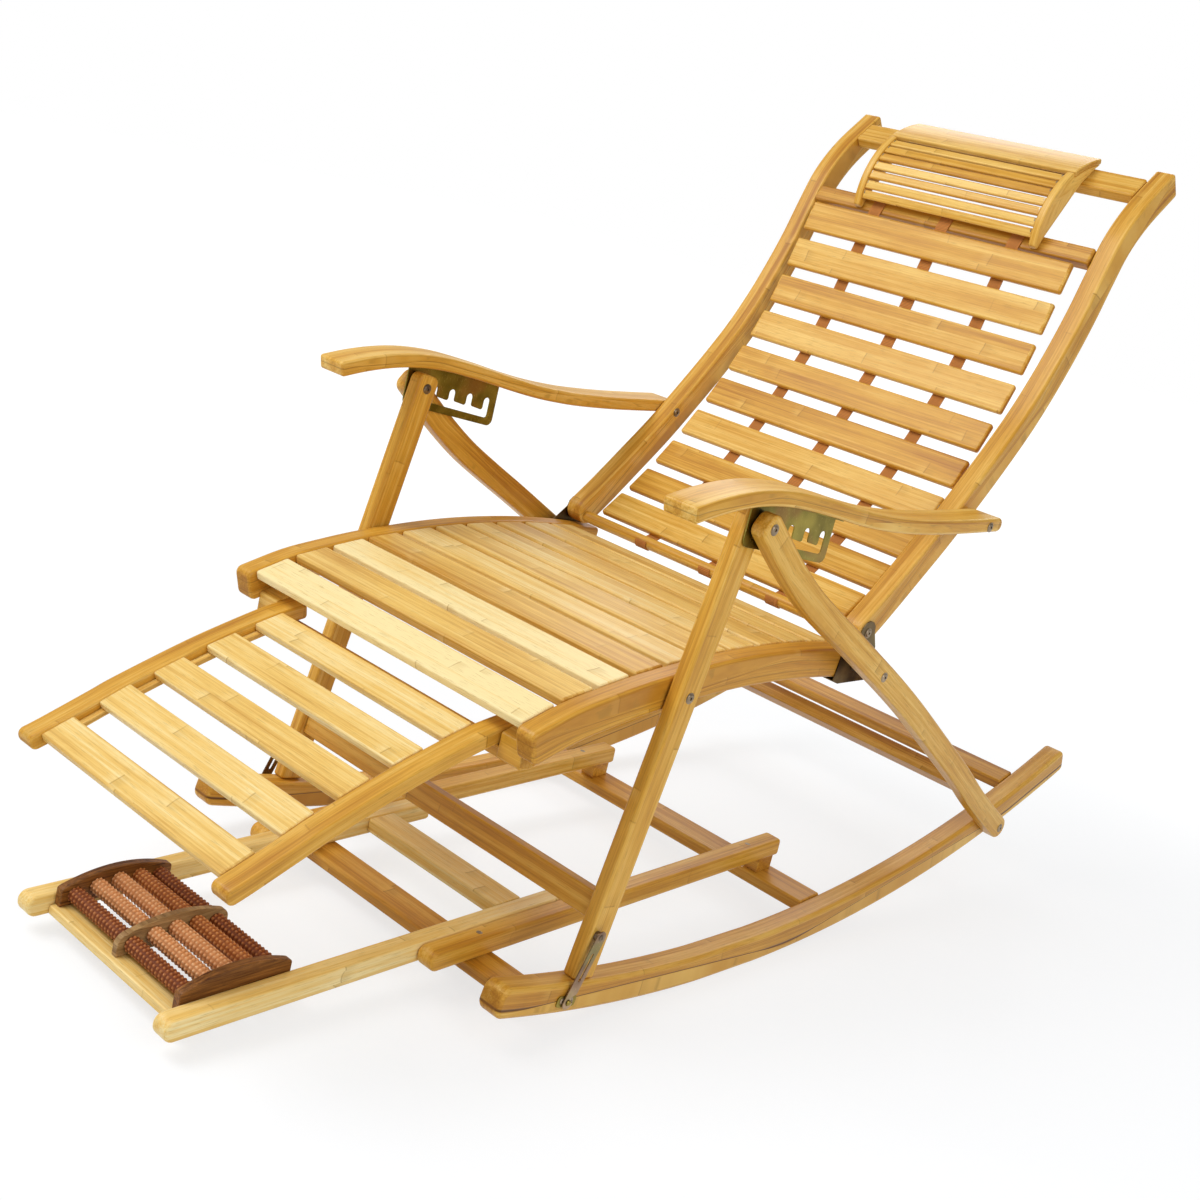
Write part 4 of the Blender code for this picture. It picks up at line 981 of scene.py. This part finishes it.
for s, Tag, tag in sides:
    dress(sideBar("armrest" + Tag, armPath, arm, s), "arm_" + tag, "bamboo_honey", layered, "armrest_" + tag)
    boltAt(bigBolt, "armBolt" + Tag, s * (arm["inner"] + arm["wide"]), pivots["arm"], s, "backrest", "arm_bolt_" + tag)
    boltAt(bigBolt, "armNut" + Tag, s * seat["inner"], pivots["arm"], -s, "backrest")

    x0 = legOuter + (leg["comb"] - comb["thick"]) / 2
    stations = (comb["front"], -0.225, -0.19, -0.15, -0.115, comb["rear"])
    top = [underArm(y, 0) for y in stations]
    outline = top + combCorner(comb["rear"] - comb["corner"], range(0, -99, -14))
    outline += combCorner(comb["front"] + comb["corner"], range(-98, -181, -13))
    piece = sideBlank("combPlate" + Tag, outline, s * x0, s * (x0 + comb["thick"]))
    w, r = comb["slot"] / 2, comb["tooth"]
    slotLine = []
    for k in range(comb["notches"]):
        y, z = legTop.x + comb["pitch"] * k, legTop.y - comb["drop"] * k
        low, high = (combBottom(at) + comb["strip"] + comb["channel"] for at in (y - w, y + w))
        # each tooth between two notches has rounded corners
        slotLine += arcPoints(y - w - r, low + r, r, range(-90, 1, 30)) if k else [(y - w, low)]
        slotLine += arcPoints(y, z, w, range(180, -1, -20))
        if k < comb["notches"] - 1:
            slotLine += arcPoints(y + w + r, high + r, r, range(180, 271, 30))
    floor = combBottom(y + w) + comb["strip"]
    slotLine += [(y + w, floor + r), (y + w - 0.3 * r, floor + 0.3 * r), (y + w - r, floor),
                 (legTop.x - w, combBottom(legTop.x - w) + comb["strip"])]
    cutOut(piece, sideBlank("slot", slotLine, s * (x0 - 0.002), s * (x0 + 0.005)))
    roundEdges(piece, 0.0003, 1, 60)
    flange = sideBlank("flange", top + [underArm(y, comb["thick"]) for y in reversed(stations)],
                       s * (x0 + 0.0002), s * (x0 + comb["flange"]))
    roundEdges(flange, 0.0003, 1, 60)
    dress(joined([piece, flange], "combPlate" + Tag), "arm_" + tag, "zinc_steel", zinc, "comb_plate_" + tag)
print("arms made")

# ---- stay links
link = {"inner": 0.2955, "thick": 0.0014, "wide": 0.016, "stud": 0.0035}
for s, Tag, tag in sides:
    a, b = Vector(pivots["link"]), Vector(pivots["catch"])
    down = (b - a).normalized()
    x0 = link["inner"]
    outline = barOutline([a, b + down * 0.001], link["wide"], link["wide"] / 2, link["wide"] / 2, 8)
    piece = sideBlank("stayLink" + Tag, outline, s * x0, s * (x0 + link["thick"]))
    r = link["stud"] + 0.0006
    mouth = arcPoints(*b, r, range(90, 271, 15))
    mouth += [mouth[-1] + Vector((0.03, 0.01)), mouth[0] + Vector((0.03, 0.01))]
    cutOut(piece, sideBlank("mouth", mouth, s * (x0 - 0.002), s * (x0 + 0.004)))
    window = barOutline([a.lerp(b, 0.26), a.lerp(b, 0.66)], 0.0036, 0.0018, 0.0018, 6)
    cutOut(piece, sideBlank("window", window, s * (x0 - 0.002), s * (x0 + 0.004)))
    roundEdges(piece, 0.0003, 1, 60)
    dress(piece, "link_" + tag, "zinc_steel", bronze, "stay_link_" + tag)
    hub = lathe("linkHub" + Tag, *a, [(s * (legOuter + 0.0003), 0.0058), (s * (x0 + 0.0001), 0.0058)], 28, 0.0004)
    dress(hub, "link_" + tag, "dark_steel", darkSteel)
    boltAt(smallScrew, "linkScrew" + Tag, s * (x0 + link["thick"]), pivots["link"], s, "link_" + tag)
    for k, y in enumerate((-0.3715, -0.3565)):
        boltAt(smallScrew, "catchScrew%s%d" % (Tag, k + 1), s * (rocker["inner"] + rocker["wide"] + gap + 0.0012),
               (y, 0.041 - 0.17 * (y + 0.3635)), s, "rocker_base")
    for k, y in enumerate((-0.385, 0.13)):  # screws that hold the fixed foot bars
        piece = copyOf(smallScrew, "guideScrew%s%d" % (Tag, k + 1))
        x, top = s * (guide["inner"] + guide["wide"] / 2), footLine(y) + foot["deep"] - 0.0002
        reshape(piece, lambda high, v, w: (x - w, y + v, top + high * 0.6))
        dress(piece, "rocker_base", "dark_steel", darkSteel)
bpy.data.objects.remove(bigBolt)
bpy.data.objects.remove(smallScrew)
print("links made")

# ---- room, lamps and camera
room = {"floorHalf": 14.0, "white": 0.66, "clear": (0.9, 2.2), "world": 0.44, "key": 98.0, "fill": 42.0, "rim": 32.0}
floorFinish, start, shader = startFinish("paleFloor")
for key, value in (("Base Color", (0.82, 0.85, 0.89, 1)), ("Roughness", 0.9), ("Specular IOR Level", 0.0)):
    shader.inputs[key].default_value = value
glow = start.node("ShaderNodeEmission", None, {"Strength": 1.1})
place = start.node("ShaderNodeTexCoord", out=3)
away = start.node("ShaderNodeVectorMath", {"operation": "LENGTH"}, {0: place}, 1)
direct, mirrored = (start.node("ShaderNodeLightPath", out="Is %s Ray" % kind) for kind in ("Camera", "Glossy"))
seen = direct.maths("MAXIMUM", mirrored)
seen = seen * (away.between(*room["clear"]) * (1 - room["white"]) + room["white"])  # pure white away from the chair
mixed = start.node("ShaderNodeMixShader", None, {0: seen, 1: Wire(start.tree, shader.outputs[0]), 2: glow})
mixed.into(start.tree.nodes["Material Output"], 0)
clearSelection()
bpy.ops.mesh.primitive_plane_add(size=2 * room["floorHalf"], location=(0, 0, -0.0006))
floor = bpy.context.object
floor.name = "floor"
floor.data.materials.append(floorFinish)

world = bpy.data.worlds.new("studio")
bpy.context.scene.world = world
world.use_nodes = True
start = Wire(world.node_tree, None)
dim, bright = (start.node("ShaderNodeBackground", None, {"Color": (1, 1, 1, 1), "Strength": strength})
               for strength in (room["world"], 1.0))
direct = start.node("ShaderNodeLightPath", out="Is Camera Ray")
mixed = start.node("ShaderNodeMixShader", None, {0: direct, 1: dim, 2: bright})
mixed.into(start.tree.nodes["World Output"], 0)

lamps = (("keyLamp", (-1.6, -2.2, 3.4), (0, 0, 0.3), (2.2, 2.2), room["key"]),
         ("fillLamp", (3.4, -1.0, 2.0), (0, 0, 0.5), (2.5, 2.0), room["fill"]),
         ("rimLamp", (-1.5, 3.0, 2.6), (0, 0, 0.6), (2.5, 1.5), room["rim"]))
for name, place, target, size, watts in lamps:
    data = bpy.data.lights.new(name, "AREA")
    data.shape, data.size, data.size_y, data.energy = "RECTANGLE", *size, watts
    piece = bpy.data.objects.new(name, data)
    bpy.context.collection.objects.link(piece)
    piece.location = place
    piece.rotation_euler = (Vector(target) - Vector(place)).to_track_quat("-Z", "Y").to_euler()

cameraData = bpy.data.cameras.new("camera")
camera = bpy.data.objects.new("camera", cameraData)
bpy.context.collection.objects.link(camera)
right, upward = Vector((0.71354, 0.66165, 0.23041)), Vector((-0.34247, 0.0425, 0.93857))
forward = Vector((-0.61121, 0.74861, -0.25691))
turn = Matrix((right, upward, -forward)).transposed().to_4x4()
camera.matrix_world = Matrix.Translation((1.2867, -1.6919, 0.9453)) @ turn
cameraData.sensor_width, cameraData.lens = 36, 48.72
cameraData.clip_end = 100
bpy.context.scene.camera = camera
bpy.context.scene.view_settings.view_transform = "Standard"
